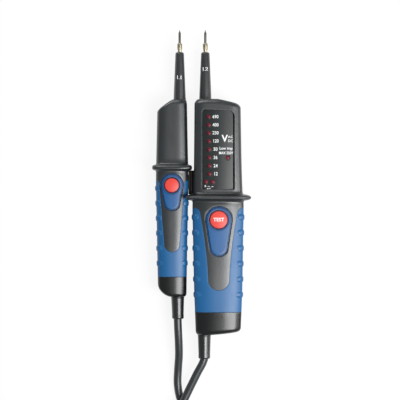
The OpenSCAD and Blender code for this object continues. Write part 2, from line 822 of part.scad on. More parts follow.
module main_grip() {
    grip(MAIN);
}
module probe_grip() {
    grip(PROBE);
}

// Buttons, their surrounds, switches and springs
module surround(h) {
    color("#3a63ad")
        at_handle(h)
            at_button(h, face_z(h) - surround_seat)
                linear_extrude(surround_seat + surround_out)
                    difference() {
                        surround_outline(h, 0);
                        circle(d = button_d_of[h] + 4 * fit);
                    }
}
module test_surround() {
    surround(MAIN);
}
module probe_surround() {
    surround(PROBE);
}
function switch_top(h) = board_top(h) + switch_h;
module button(h) {
    top = face_z(h) + surround_out + button_out;
    r = button_d_of[h] / 2;
    dome = (r * r + button_crown * button_crown) / (2 * button_crown);
    stem_z = switch_top(h) - switch_grip;
    color("#f0503f")
        at_handle(h)
            at_button(h, 0) {
                translate([0, 0, lip_top(h) - button_lip_t]) {
                    cylinder(h = button_lip_t, r = r + button_lip);
                    intersection() {
                        cylinder(h = top - lip_top(h) + button_lip_t, r = r);
                        translate([0, 0, top - lip_top(h) + button_lip_t - dome]) sphere(dome);
                    }
                }
                translate([0, 0, stem_z])
                    cylinder(h = lip_top(h) - stem_z, d = button_stem_d);
            }
}
module test_button() {
    button(MAIN);
}
module probe_button() {
    button(PROBE);
}
module push_switch(h) {
    color("#3b3b3b")
        at_handle(h)
            at_button(h, board_top(h))
                difference() {
                    translate([-switch_w / 2, -switch_w / 2, 0]) cube([switch_w, switch_w, switch_h]);
                    translate([0, 0, switch_h - switch_grip - button_travel - fit])
                        cylinder(h = switch_h, d = button_stem_d + 2 * slide_fit);
                }
}
module test_switch() {
    push_switch(MAIN);
}
module probe_switch() {
    push_switch(PROBE);
}

// A tube of a number of sides along points; its first and last rings stand square to the given ways
function unit(v) = v / norm(v);
function way(p, i, first, last) =
    i == 0 ? first : i == len(p) - 1 ? last : unit(unit(p[i + 1] - p[i]) + unit(p[i] - p[i - 1]));
module tube(p, r, n, first, last) {
    rings = [
        for (i = [0:len(p) - 1])
            let (
                t = way(p, i, first, last),
                u = unit(cross(t, [0, 0, 1])),
                v = cross(u, t)
            )
                [for (k = [0:n - 1]) p[i] + r * (u * cos(360 * (k + 0.5) / n) + v * sin(360 * (k + 0.5) / n))]
    ];
    skin(rings);
}
spring_steps = 12;
spring_sides = 6;
module spring(h) {
    z0 = switch_top(h) + spring_wire / 2 + fit / 2;
    z1 = lip_top(h) - button_lip_t - spring_wire / 2 - fit / 2;
    steps = spring_steps * spring_turns;
    turned = 360 * spring_turns;
    path = [
        for (i = [0:steps])
            let (a = turned * i / steps)
                [spring_d / 2 * cos(a), spring_d / 2 * sin(a), z0 + (z1 - z0) * i / steps]
    ];
    color("silver")
        at_handle(h)
            at_button(h, 0)
                tube(path, spring_wire / 2, spring_sides, [0, 1, 0], [-sin(turned), cos(turned), 0]);
}
module test_spring() {
    spring(MAIN);
}
module probe_spring() {
    spring(PROBE);
}

// Boards and what is soldered under them
module board(h) {
    color("#2c6b3f")
        at_handle(h)
            translate([-board_left_of[h], -board_s_of[h] - board_len_of[h], board_bottom(h)])
                cube([board_left_of[h] + board_right_of[h], board_len_of[h], board_t]);
}
module main_board() {
    board(MAIN);
}
module probe_board() {
    board(PROBE);
}
resistor_shares = [0.3, 0.65];
module resistors(h) {
    color("#b08a5a")
        at_handle(h)
            for (t = resistor_shares)
                translate([
                    t * (board_left_of[h] + board_right_of[h]) - board_left_of[h],
                    -board_s_of[h] - board_len_of[h] / 3,
                    board_bottom(h) - resistor_d / 2 - fit
                ])
                    rotate([90, 0, 0]) cylinder(h = resistor_len, d = resistor_d);
}
module main_resistors() {
    resistors(MAIN);
}
module probe_resistors() {
    resistors(PROBE);
}

// Probe tips: needle, adapter, sleeve and the contact behind them
module sleeve(h) {
    color("#232729")
        at_handle(h)
            translate([0, 0, axis_z])
                rotate([90, 0, 0])
                    rotate_extrude()
                        difference() {
                            polygon([
                                [0, -sleeve_len], [sleeve_tip_d / 2 - sleeve_round, -sleeve_len],
                                [sleeve_tip_d / 2, -sleeve_len + sleeve_round], [sleeve_root_d / 2, 0],
                                [sleeve_root_d / 2, sleeve_seat_s], [sleeve_collar_d / 2, sleeve_seat_s],
                                [sleeve_collar_d / 2, sleeve_seat_s + sleeve_collar_t],
                                [0, sleeve_seat_s + sleeve_collar_t]
                            ]);
                            translate([0, -sleeve_len - over])
                                square([adapter_neck_d / 2 + fit, adapter_stem + over + fit]);
                            translate([0, -sleeve_len]) square([contact_d / 2 + fit, 2 * sleeve_len]);
                        }
}
module adapter(h) {
    color("#b89b5e")
        at_handle(h)
            translate([0, 0, axis_z])
                rotate([90, 0, 0])
                    difference() {
                        union() {
                            translate([0, 0, -sleeve_len - adapter_len])
                                cylinder(h = adapter_len - adapter_neck, d = adapter_d);
                            translate([0, 0, -sleeve_len - adapter_len])
                                cylinder(h = adapter_len + adapter_stem, d = adapter_neck_d);
                        }
                        translate([0, 0, -sleeve_len - adapter_len - over])
                            cylinder(h = needle_root + over + fit, d = needle_root_d + 2 * fit);
                    }
}
module needle(h) {
    y0 = -sleeve_len - adapter_len - needle_len;
    color("#7d7f82")
        at_handle(h)
            translate([0, 0, axis_z])
                rotate([90, 0, 0])
                    rotate_extrude()
                        polygon([
                            [0, y0], [needle_d / 8, y0], [needle_d / 2, y0 + needle_point],
                            [needle_d / 2, y0 + needle_len], [needle_root_d / 2, y0 + needle_len],
                            [needle_root_d / 2, y0 + needle_len + needle_root],
                            [0, y0 + needle_len + needle_root]
                        ]);
}
module contact(h) {
    s1 = board_s_of[h] - fit;
    low = min(board_bottom(h), axis_z - contact_d / 2);
    high = max(board_top(h), axis_z + contact_d / 2);
    color("#c8a45a")
        at_handle(h) {
            translate([0, 0, axis_z])
                rotate([90, 0, 0])
                    translate([0, 0, stem_end_s + fit]) cylinder(h = s1 - stem_end_s - fit, d = contact_d);
            translate([-contact_tab_w / 2, -s1, low]) cube([contact_tab_w, contact_tab_t, high - low]);
        }
}
module main_sleeve() {
    sleeve(MAIN);
}
module main_adapter() {
    adapter(MAIN);
}
module main_needle() {
    needle(MAIN);
}
module main_contact() {
    contact(MAIN);
}
module probe_sleeve() {
    sleeve(PROBE);
}
module probe_adapter() {
    adapter(PROBE);
}
module probe_needle() {
    needle(PROBE);
}
module probe_contact() {
    contact(PROBE);
}

// Docking key: a plug in the main handle's side, with a pin for the probe's socket
module dock_plug(grow) {
    translate([dock_left, -dock_s - dock_len - grow, axis_z - dock_h / 2 - grow])
        cube([dock_right - dock_left + grow, dock_len + 2 * grow, dock_h + 2 * grow]);
}
module dock_pin(grow) {
    step = dock_step - grow;
    x = dock_left - dock_gap - dock_tongue - grow;
    translate([x, -dock_s - dock_len + step, axis_z - dock_h / 2 + step])
        cube([dock_left + over - x, dock_len - 2 * step, dock_h - 2 * step]);
}
module dock_key() {
    color("#26211f")
        translate([0, top_y, 0]) {
            dock_plug(0);
            dock_pin(0);
        }
}

module screws(h) {
    color("#8d9296")
        at_handle(h)
            for (p = screw_places(h))
                translate([p[0], p[1], screw_deep]) {
                    cylinder(h = screw_head_h, d = screw_head_d);
                    cylinder(h = axis_z - screw_deep + screw_bite, d = screw_d);
                }
}
module main_screws() {
    screws(MAIN);
}
module probe_screws() {
    screws(PROBE);
}

// Where the leads leave: strain relief, cradle and the lead's end inside
function relief_end_s(h) = len_of[h] + relief_len_of[h];
module at_lead(h) {
    at_handle(h) translate([lead_x_of[h], 0, axis_z]) rotate([90, 0, 0]) children();
}
module relief(h) {
    seat = len_of[h] - relief_seat;
    stem = cap_floor_s(h);
    color("#17191b")
        at_lead(h)
            rotate_extrude()
                polygon([
                    [lead_d / 2 + fit, stem], [relief_stem_d / 2, stem], [relief_stem_d / 2, seat],
                    [relief_root_d / 2, seat], [relief_root_d / 2, len_of[h]],
                    [relief_end_d / 2, relief_end_s(h) - relief_edge],
                    [relief_end_d / 2 - relief_edge, relief_end_s(h)], [lead_d / 2 + fit, relief_end_s(h)]
                ]);
}
module lead_end(h) {
    color("#25282a")
        at_lead(h)
            translate([0, 0, len_of[h] - lead_inner])
                cylinder(h = relief_end_s(h) - len_of[h] + lead_inner, d = lead_d);
}
module lead_cradle(h) {
    floor_z = lower_in + wall;
    foot_z = floor_z + cradle_foot_h;
    y = lead_inner - len_of[h] - cradle_in;
    color("#4a4f52")
        at_handle(h)
            difference() {
                union() {
                    translate([lead_x_of[h] - cradle_foot_w / 2, y - cradle_len, floor_z])
                        cube([cradle_foot_w, cradle_len, cradle_foot_h]);
                    translate([lead_x_of[h] - cradle_w / 2, y - cradle_len, foot_z])
                        cube([cradle_w, cradle_len, axis_z - cradle_low - foot_z]);
                }
                translate([lead_x_of[h], y + over, axis_z])
                    rotate([90, 0, 0]) cylinder(h = cradle_len + 2 * over, d = lead_d + 2 * fit);
            }
}
module main_relief() {
    relief(MAIN);
}
module main_lead_cradle() {
    lead_cradle(MAIN);
}
module main_lead_end() {
    lead_end(MAIN);
}
module probe_relief() {
    relief(PROBE);
}
module probe_lead_cradle() {
    lead_cradle(PROBE);
}
module probe_lead_end() {
    lead_end(PROBE);
}

// The lead lies on the bench in one coil of two layers between the two handles
coil_centre = [-14, -230];
coil_inner_r = 28.5;
coil_pitch = 7;
coil_climb = 7;
// How far the half turn between the layers draws in
coil_dip = 1.2;
// Angle at which the coil starts, and the whole angle that it turns, clockwise
coil_start = 60;
coil_angle = 1380;
coil_layer = (coil_angle - 180) / 2;
// Rings a loop, and sides of the lead in the coil and in its free runs
coil_rings = 24;
coil_sides = 6;
run_sides = 10;
function coil_r(f) =
    f < coil_layer ? coil_inner_r + coil_pitch * (coil_layer - f) / 360
    : f > coil_layer + 180 ? coil_inner_r + coil_pitch * (f - coil_layer - 180) / 360
    : coil_inner_r - coil_dip * sin(f - coil_layer);
function coil_z(f) =
    lead_d / 2 + coil_climb * (f < coil_layer ? 0 : f > coil_layer + 180 ? 1 : (1 - cos(f - coil_layer)) / 2);
function coil_point(f) = [
    coil_centre[0] + coil_r(f) * cos(coil_start - f),
    coil_centre[1] + coil_r(f) * sin(coil_start - f),
    coil_z(f)
];
coil_first_way = [sin(coil_start), -cos(coil_start), 0];
coil_last_way = [sin(coil_start - coil_angle), -cos(coil_start - coil_angle), 0];
coil_turned = [for (i = [0:coil_rings * coil_angle / 360]) coil_point(360 * i / coil_rings)];
coil_path = concat(
    [coil_turned[0] - lead_d * coil_first_way],
    coil_turned,
    [coil_turned[len(coil_turned) - 1] + lead_d * coil_last_way]
);
coil_gap = min([
    for (i = [0:len(coil_turned) - 1])
        for (j = [i + coil_rings / 2:1:len(coil_turned) - 1]) norm(coil_turned[i] - coil_turned[j])
]) - lead_d;
echo(coil_gap = coil_gap);

function lead_exit(h) = [x_of[h] + lead_x_of[h], top_y - relief_end_s(h), axis_z];
probe_route = concat(
    [lead_exit(PROBE)],
    [[-18.9, -108, 12.6], [-18.4, -118, 11], [-18.2, -130, 8], [-19, -142, 5], [-19.3, -154, 3.6]],
    [[-17, -166, 3.2], [-11.5, -177, 3.2], [-4, -186, 3.2]],
    [coil_path[0]]
);
main_route = concat(
    [coil_path[len(coil_path) - 1]],
    [[-22.5, -184, 10.3], [-17.9, -174.5, 10.4], [-13.6, -165, 10.6], [-9.6, -156.5, 11.1]],
    [[-5.9, -149, 11.8], [-2.7, -142.5, 12.4], [0.4, -137, 12.8]],
    [lead_exit(MAIN)]
);
module cord_run_probe() {
    color("#26292b") tube(probe_route, lead_d / 2, run_sides, [0, -1, 0], coil_first_way);
}
module cord_run_main() {
    color("#26292b") tube(main_route, lead_d / 2, run_sides, coil_last_way, [0, 1, 0]);
}
module cord_coil() {
    color("#26292b") tube(coil_path, lead_d / 2, coil_sides, coil_first_way, coil_last_way);
}

main_front_shell();
main_rear_shell();
main_tail_cap();
main_grip();
probe_front_shell();
probe_rear_shell();
probe_tail_cap();
probe_grip();
display_panel();
test_surround();
test_button();
test_spring();
test_switch();
probe_surround();
probe_button();
probe_spring();
probe_switch();
main_board();
main_resistors();
probe_board();
probe_resistors();
for (i = [0:len(volts) - 1])
    lamp(i);
lamp(len(volts));  // lamp_plus
lamp(len(volts) + 1);  // lamp_minus
lamp(len(volts) + 2);  // lamp_range
main_sleeve();
main_adapter();
main_needle();
main_contact();
probe_sleeve();
probe_adapter();
probe_needle();
probe_contact();
dock_key();
main_screws();
probe_screws();
main_relief();
main_lead_cradle();
main_lead_end();
probe_relief();
probe_lead_cradle();
probe_lead_end();
cord_run_probe();
cord_coil();
cord_run_main();
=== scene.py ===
"""Voltage tester on its back: looks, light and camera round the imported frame.

Shapes are worked out in millimetres and put into the meshes in metres. Each handle has its own
local frame: x to the right of its needle, s down from the top of its housing, z above the bench.
"""

import bmesh
import bpy
import numpy as np
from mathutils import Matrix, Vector


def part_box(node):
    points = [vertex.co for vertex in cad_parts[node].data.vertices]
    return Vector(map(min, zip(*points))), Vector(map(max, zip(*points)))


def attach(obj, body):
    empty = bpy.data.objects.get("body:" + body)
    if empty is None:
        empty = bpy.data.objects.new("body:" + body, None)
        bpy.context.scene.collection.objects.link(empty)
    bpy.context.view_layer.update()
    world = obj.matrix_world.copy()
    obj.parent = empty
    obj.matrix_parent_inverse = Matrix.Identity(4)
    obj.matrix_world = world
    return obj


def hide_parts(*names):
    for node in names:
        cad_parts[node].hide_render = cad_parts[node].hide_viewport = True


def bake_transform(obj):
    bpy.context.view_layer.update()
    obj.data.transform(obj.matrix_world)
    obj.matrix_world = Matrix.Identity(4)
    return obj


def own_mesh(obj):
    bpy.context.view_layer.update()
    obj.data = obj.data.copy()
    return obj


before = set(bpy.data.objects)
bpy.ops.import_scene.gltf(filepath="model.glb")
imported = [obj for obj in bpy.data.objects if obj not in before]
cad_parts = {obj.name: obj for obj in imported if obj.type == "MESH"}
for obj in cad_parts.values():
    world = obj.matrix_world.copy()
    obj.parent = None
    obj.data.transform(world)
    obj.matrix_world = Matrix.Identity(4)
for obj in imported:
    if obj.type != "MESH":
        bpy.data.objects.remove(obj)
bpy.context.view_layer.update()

# The height of the needles' axes, the place of the housings' tops, the lead's diameter and the
# height of the panel's face, all in mm
MM = 0.001
AXIS_Z = 13.0
TOP_Y = 76.0
LEAD_D = 6.4
PANEL_Z = 27.2


# Camera, straight above, and the frame of 320 mm that it sees at the height of the handles
CAMERA_X, CAMERA_Y, CAMERA_Z = -1.2, -4.6, 1300.0
VIEW_W, VIEW_Z = 320.0, 20.0
camera_data = bpy.data.cameras.new("camera")
camera_data.sensor_width = 36.0
camera_data.lens = camera_data.sensor_width * (CAMERA_Z - VIEW_Z) / VIEW_W
camera_data.clip_start = 0.05
camera_data.clip_end = 20.0
camera = bpy.data.objects.new("camera", camera_data)
camera.location = (CAMERA_X * MM, CAMERA_Y * MM, CAMERA_Z * MM)
bpy.context.collection.objects.link(camera)
bpy.context.scene.camera = camera


# Finishes

class Value:
    """A number socket in a sum: each operator adds its Math node."""

    def __init__(self, finish, socket):
        self.finish = finish
        self.socket = socket

    def combine(self, operation, first, second=None):
        """The Math node's result on one or two numbers."""
        inputs = {0: first} if second is None else {0: first, 1: second}
        node = self.finish.node("ShaderNodeMath", {"operation": operation}, inputs)
        return Value(self.finish, node.outputs[0])

    def __add__(self, other):
        return self.combine("ADD", self, other)

    def __radd__(self, other):
        return self.combine("ADD", other, self)

    def __sub__(self, other):
        return self.combine("SUBTRACT", self, other)

    def __rsub__(self, other):
        return self.combine("SUBTRACT", other, self)

    def __mul__(self, other):
        return self.combine("MULTIPLY", self, other)

    def __rmul__(self, other):
        return self.combine("MULTIPLY", other, self)

    def power(self, exponent):
        return self.combine("POWER", self, exponent)

    def sine(self):
        return self.combine("SINE", self)

    def larger(self, other):
        return self.combine("MAXIMUM", self, other)

    def clamped(self):
        return self.combine("MINIMUM", self.larger(0.0), 1.0)


class Nodes:
    """An emptied node tree, and the one method that adds a node to it."""

    def __init__(self, tree):
        self.tree = tree
        self.tree.nodes.clear()

    def node(self, kind, settings, inputs):
        """Adds a node: its settings first, then a value or a link for each named socket."""
        node = self.tree.nodes.new(kind)
        for key, setting in settings.items():
            setattr(node, key, setting)
        for key, value in inputs.items():
            self.feed(node.inputs[key], value)
        return node

    def feed(self, socket, value):
        """Links a socket or a Value, or writes a plain value."""
        source = value.socket if isinstance(value, Value) else value
        if isinstance(source, bpy.types.NodeSocket):
            self.tree.links.new(source, socket)
        else:
            socket.default_value = source


class Finish(Nodes):
    """One material, its shader and the nodes that vary it over the surface."""

    def __init__(self, name, roughness=0.4, **uniform):
        self.material = bpy.data.materials.new(name)
        self.material.use_nodes = True
        super().__init__(self.material.node_tree)
        self.shader = self.node("ShaderNodeBsdfPrincipled", {}, {"Roughness": roughness, **uniform})
        self.node("ShaderNodeOutputMaterial", {}, {"Surface": self.shader.outputs[0]})
        self.object_space = self.node("ShaderNodeTexCoord", {}, {}).outputs["Object"]

    def noise(self, scale, detail=3.0, stretch=None, roughness=0.5):
        """Noise from 0 to 1 on the piece's own coordinates, with scale in lumps a metre."""
        place = self.object_space
        if stretch:
            mapping = self.node("ShaderNodeMapping", {}, {"Vector": place, "Scale": stretch})
            place = mapping.outputs[0]
        inputs = {"Vector": place, "Scale": scale, "Detail": detail, "Roughness": roughness}
        return Value(self, self.node("ShaderNodeTexNoise", {}, inputs).outputs["Fac"])

    def along(self, axis):
        """The piece's own coordinate along X, Y or Z, in metres."""
        parts = self.node("ShaderNodeSeparateXYZ", {}, {0: self.object_space})
        return Value(self, parts.outputs[axis])

    def attribute(self, name):
        """A number that the mesh holds for each point."""
        node = self.node("ShaderNodeAttribute", {"attribute_name": name}, {})
        return Value(self, node.outputs["Fac"])

    def blend(self, factor, first, second):
        """A colour between two colours: the Mix node's colours are its inputs 6 and 7, output 2."""
        inputs = {0: factor, 6: first, 7: second}
        return self.node("ShaderNodeMix", {"data_type": "RGBA"}, inputs).outputs[2]

    def vary(self, name, value):
        """Sets one of the shader's sockets to what varies over the surface."""
        self.feed(self.shader.inputs[name], value)

    def relief(self, height, depth, strength=1.0):
        """Fine relief: a height from 0 to 1, as deep as depth in metres."""
        inputs = {"Height": height, "Distance": depth, "Strength": strength}
        self.vary("Normal", self.node("ShaderNodeBump", {}, inputs).outputs["Normal"])


def rgb(red, green, blue):
    """A screen colour, 0 to 255 a channel, as linear light."""
    shares = np.array([red, green, blue]) / 255.0
    linear = np.where(shares <= 0.04045, shares / 12.92, ((shares + 0.055) / 1.055) ** 2.4)
    return (*[float(c) for c in linear], 1.0)


def moulded(name, dark, light, roughness, grain=2600.0, depth=0.00003, gloss=0.5, coat=0.0,
            line=None):
    """Moulded plastic: slow colour drift, fine spark grain in relief and in roughness, and line,
    a darker colour of painted shade, laid where the mesh's shade says so."""
    uniform = {"Specular IOR Level": gloss, "Coat Weight": coat, "Coat Roughness": 0.08}
    finish = Finish(name, **uniform)
    drift = finish.noise(70.0, 2.0)
    spark = finish.noise(grain, 2.0)
    rub = finish.noise(420.0, 4.0, stretch=(1.0, 0.25, 1.0))
    colour = finish.blend((drift * 0.7 + spark * 0.3).clamped(), dark, light)
    # line paints shade: the darker colour, blended in as far as the mesh's shade goes
    if line:
        colour = finish.blend(finish.attribute("shade").clamped(), colour, line)
    finish.vary("Base Color", colour)
    finish.vary("Roughness", (roughness - 0.05 + drift * 0.05 + rub * 0.07).clamped())
    finish.relief(spark, depth)
    return finish.material


def turned(name, dark, light, roughness, lines=9000.0):
    """Turned metal: fine rings round the needle's axis and a little tarnish."""
    finish = Finish(name, Metallic=1.0)
    tarnish = finish.noise(500.0, 4.0)
    ring = finish.noise(lines, 1.0, stretch=(0.02, 1.0, 0.02))
    finish.vary("Base Color", finish.blend(tarnish, dark, light))
    finish.vary("Roughness", (roughness + tarnish * 0.16 + ring * 0.06).clamped())
    finish.relief(ring, 0.00002)
    return finish.material


def printed(name, colour):
    """Screen print: opaque ink with small pinholes of thinner ink."""
    finish = Finish(name)
    ink = finish.noise(3200.0, 3.0)
    thin = tuple(c * 0.82 for c in colour[:3]) + (1.0,)
    finish.vary("Base Color", finish.blend(ink, thin, colour))
    finish.vary("Roughness", 0.42 + ink * 0.2)
    finish.relief(ink, 0.00001)
    return finish.material


def lens_finish(name, core, rim):
    """Red lamp lens: darker towards its rim and paler in its middle."""
    finish = Finish(name, roughness=0.4, **{"Specular IOR Level": 0.3})
    radius = finish.attribute("shade")
    cloud = finish.noise(1500.0, 2.0)
    outer = (radius.power(1.6) * 0.9 + cloud * 0.15).clamped()
    finish.vary("Base Color", finish.blend(outer, core, rim))
    finish.relief(cloud, 0.00001)
    return finish.material


def lead_finish(name, dark, light):
    """Soft lead sheath: a matt skin with long rub marks along it."""
    finish = Finish(name, **{"Specular IOR Level": 0.7})
    skin = finish.noise(1800.0, 3.0)
    rub = finish.noise(160.0, 3.0)
    finish.vary("Base Color", finish.blend((skin * 0.4 + rub * 0.6).clamped(), dark, light))
    finish.vary("Roughness", (0.3 + rub * 0.14).clamped())
    finish.relief(skin, 0.00001)
    return finish.material


def board_finish(name):
    """Circuit board: green mask over paler copper tracks."""
    finish = Finish(name, roughness=0.35)
    tracks = (finish.along("X") * 2400.0).sine() * (finish.along("Y") * 1500.0).sine()
    mask = (tracks * 3.0 + finish.noise(300.0) - 0.4).clamped()
    finish.vary("Base Color", finish.blend(mask, rgb(20, 74, 44), rgb(52, 116, 70)))
    finish.relief(mask, 0.00003)
    return finish.material


SHELL_BLACK = moulded(
    "shell_black", rgb(20, 25, 28), rgb(28, 35, 38), 0.33, depth=0.00001, gloss=1.0
)
CAP_BLACK = moulded(
    "cap_gloss_black", rgb(8, 10, 11), rgb(17, 19, 21), 0.28, 1500.0, 0.000006, 0.5, coat=0.08
)
GRIP_BLUE = moulded(
    "grip_soft_blue", rgb(9, 85, 136), rgb(18, 91, 145), 0.42, 1800.0, 0.000012, 0.55
)
# line: painted shade, the darker blue painted into the surround's grooves
SURROUND_BLUE = moulded(
    "surround_blue", rgb(4, 75, 129), rgb(15, 85, 142), 0.4, depth=0.00001, gloss=0.6,
    line=rgb(6, 46, 84)
)
# line: painted shade, the darker red painted on the button's rounded edge and all below it
BUTTON_RED = moulded(
    "button_red", rgb(206, 52, 45), rgb(225, 78, 66), 0.42, 900.0, 0.00002, line=rgb(120, 24, 30)
)
PANEL_BLACK = moulded(
    "panel_print_black", rgb(10, 19, 19), rgb(15, 25, 25), 0.32, 1200.0, 0.000008, 0.6
)
RELIEF_BLACK = moulded(
    "relief_black", rgb(20, 23, 25), rgb(30, 34, 36), 0.3, 1700.0, 0.00001, 0.65, coat=0.2
)
SLEEVE_BLACK = moulded(
    "sleeve_black", rgb(17, 22, 23), rgb(25, 31, 33), 0.31, 2200.0, 0.000006, 1.2
)
BEZEL_BLACK = moulded("bezel_black", rgb(12, 14, 14), rgb(20, 22, 22), 0.5)
KEY_BLACK = moulded("key_black", rgb(28, 26, 20), rgb(60, 52, 38), 0.4, 400.0, 0.00001)
CRADLE_GREY = moulded("cradle_grey", rgb(90, 96, 99), rgb(104, 110, 113), 0.5)
SWITCH_BLACK = moulded("switch_black", rgb(28, 30, 32), rgb(38, 40, 42), 0.5)
RESISTOR_TAN = moulded("resistor_tan", rgb(168, 130, 84), rgb(190, 152, 104), 0.5)
BRASS = turned("adapter_brass", rgb(140, 132, 108), rgb(202, 194, 172), 0.24)
NEEDLE_STEEL = turned("needle_steel", rgb(84, 82, 78), rgb(128, 125, 118), 0.3)
SPRING_STEEL = turned("spring_steel", rgb(150, 152, 154), rgb(190, 192, 194), 0.25)
SCREW_STEEL = turned("screw_steel", rgb(120, 122, 124), rgb(168, 170, 172), 0.3)
CONTACT_BRASS = turned("contact_brass", rgb(170, 142, 84), rgb(208, 182, 124), 0.25)
LAMP_RED = lens_finish("lamp_red", rgb(116, 12, 36), rgb(46, 6, 16))
LEAD_BLACK = lead_finish("lead_black", rgb(26, 31, 33), rgb(42, 48, 51))
BOARD_GREEN = board_finish("board_green")
PRINT_WHITE = printed("print_white", rgb(236, 240, 240))


# Meshes

# Points nearer than MERGE are one and edges under SLIVER go, in metres; from SHARP degrees on, an
# edge is shaded sharp
MERGE, SLIVER = 0.000004, 0.000002
SHARP = 38.0


class Skin:
    """Points and faces of one piece, gathered from grids that share their border points."""

    def __init__(self):
        self.points = []
        self.faces = []
        self.count = 0

    def add(self, grid, skip=None, closed=False):
        """Adds a grid, rows x columns x 3 in mm; each face turns from a column to the next row.
        skip marks the faces left out, and closed joins the last column to the first."""
        rows, columns = grid.shape[:2]
        index = np.arange(rows * columns).reshape(rows, columns) + self.count
        if closed:
            index = np.hstack([index, index[:, :1]])
        quads = np.stack([index[:-1, :-1], index[:-1, 1:], index[1:, 1:], index[1:, :-1]], -1)
        quads = quads[~skip] if skip is not None else quads.reshape(-1, 4)
        self.points.append(grid.reshape(-1, 3))
        self.faces.extend(quads.tolist())
        self.count += rows * columns

    def add_faces(self, points, faces):
        """Adds loose points and the faces that name them."""
        self.points.append(np.asarray(points, float))
        self.faces.extend([[i + self.count for i in face] for face in faces])
        self.count += len(points)


def put(name, skin, material, body, replaced=(), wall=0.0, middle=None, shade=None):
    """Makes the piece: merges the grids' borders, turns its faces outwards, gives it its wall.
    middle is a point inside an open skin, from which its faces look away; shade is a number for
    each point, which the finish reads."""
    mesh = bpy.data.meshes.new(name)
    points = np.concatenate(skin.points) * MM
    mesh.from_pydata(points.tolist(), [], skin.faces)
    if shade is not None:
        mesh.attributes.new("shade", "FLOAT", "POINT").data.foreach_set("value", shade)
    work = bmesh.new()
    work.from_mesh(mesh)
    bmesh.ops.remove_doubles(work, verts=work.verts, dist=MERGE)
    bmesh.ops.dissolve_degenerate(work, edges=work.edges, dist=SLIVER)
    bmesh.ops.recalc_face_normals(work, faces=work.faces)
    if middle is not None:
        centre = Vector([c * MM for c in middle])
        outward = sum(
            (f.calc_center_median() - centre).dot(f.normal) * f.calc_area() for f in work.faces
        )
        if outward < 0:
            bmesh.ops.reverse_faces(work, faces=work.faces)
    work.to_mesh(mesh)
    work.free()
    mesh.shade_smooth()
    mesh.set_sharp_from_angle(angle=np.radians(SHARP))
    mesh.materials.append(material)
    piece = bpy.data.objects.new(name, mesh)
    bpy.context.collection.objects.link(piece)
    if wall:
        solid = piece.modifiers.new("wall", "SOLIDIFY")
        solid.thickness = wall * MM
        solid.offset = -1.0
    if body:
        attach(piece, body)
    if replaced:
        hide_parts(*replaced)
    return piece


def smooth(table, q):
    """Monotone cubic through pairs: between two of them a Hermite cubic, whose end slopes are the
    weighted harmonic mean of the neighbouring chords, or nothing where the chords turn."""
    knots, values = np.array(table, float).T
    q = np.clip(q, knots[0], knots[-1])
    gap = np.diff(knots)
    chord = np.diff(values) / gap
    slope = np.zeros_like(values)
    before, after = chord[:-1], chord[1:]
    same = before * after > 0
    w1, w2 = 2 * gap[1:] + gap[:-1], gap[1:] + 2 * gap[:-1]
    safe_before, safe_after = np.where(same, before, 1.0), np.where(same, after, 1.0)
    slope[1:-1] = np.where(same, (w1 + w2) / (w1 / safe_before + w2 / safe_after), 0.0)
    slope[0], slope[-1] = chord[0], chord[-1]
    i = np.clip(np.searchsorted(knots, q, side="right") - 1, 0, len(gap) - 1)
    t = (q - knots[i]) / gap[i]
    rise = t * (1 - t) * gap[i]
    return (
        (1 + 2 * t) * (1 - t) ** 2 * values[i] + t * t * (3 - 2 * t) * values[i + 1]
        + rise * ((1 - t) * slope[i] - t * slope[i + 1])
    )


def step(t):
    """Smooth step from 0 to 1."""
    t = np.clip(t, 0.0, 1.0)
    return t * t * (3 - 2 * t)


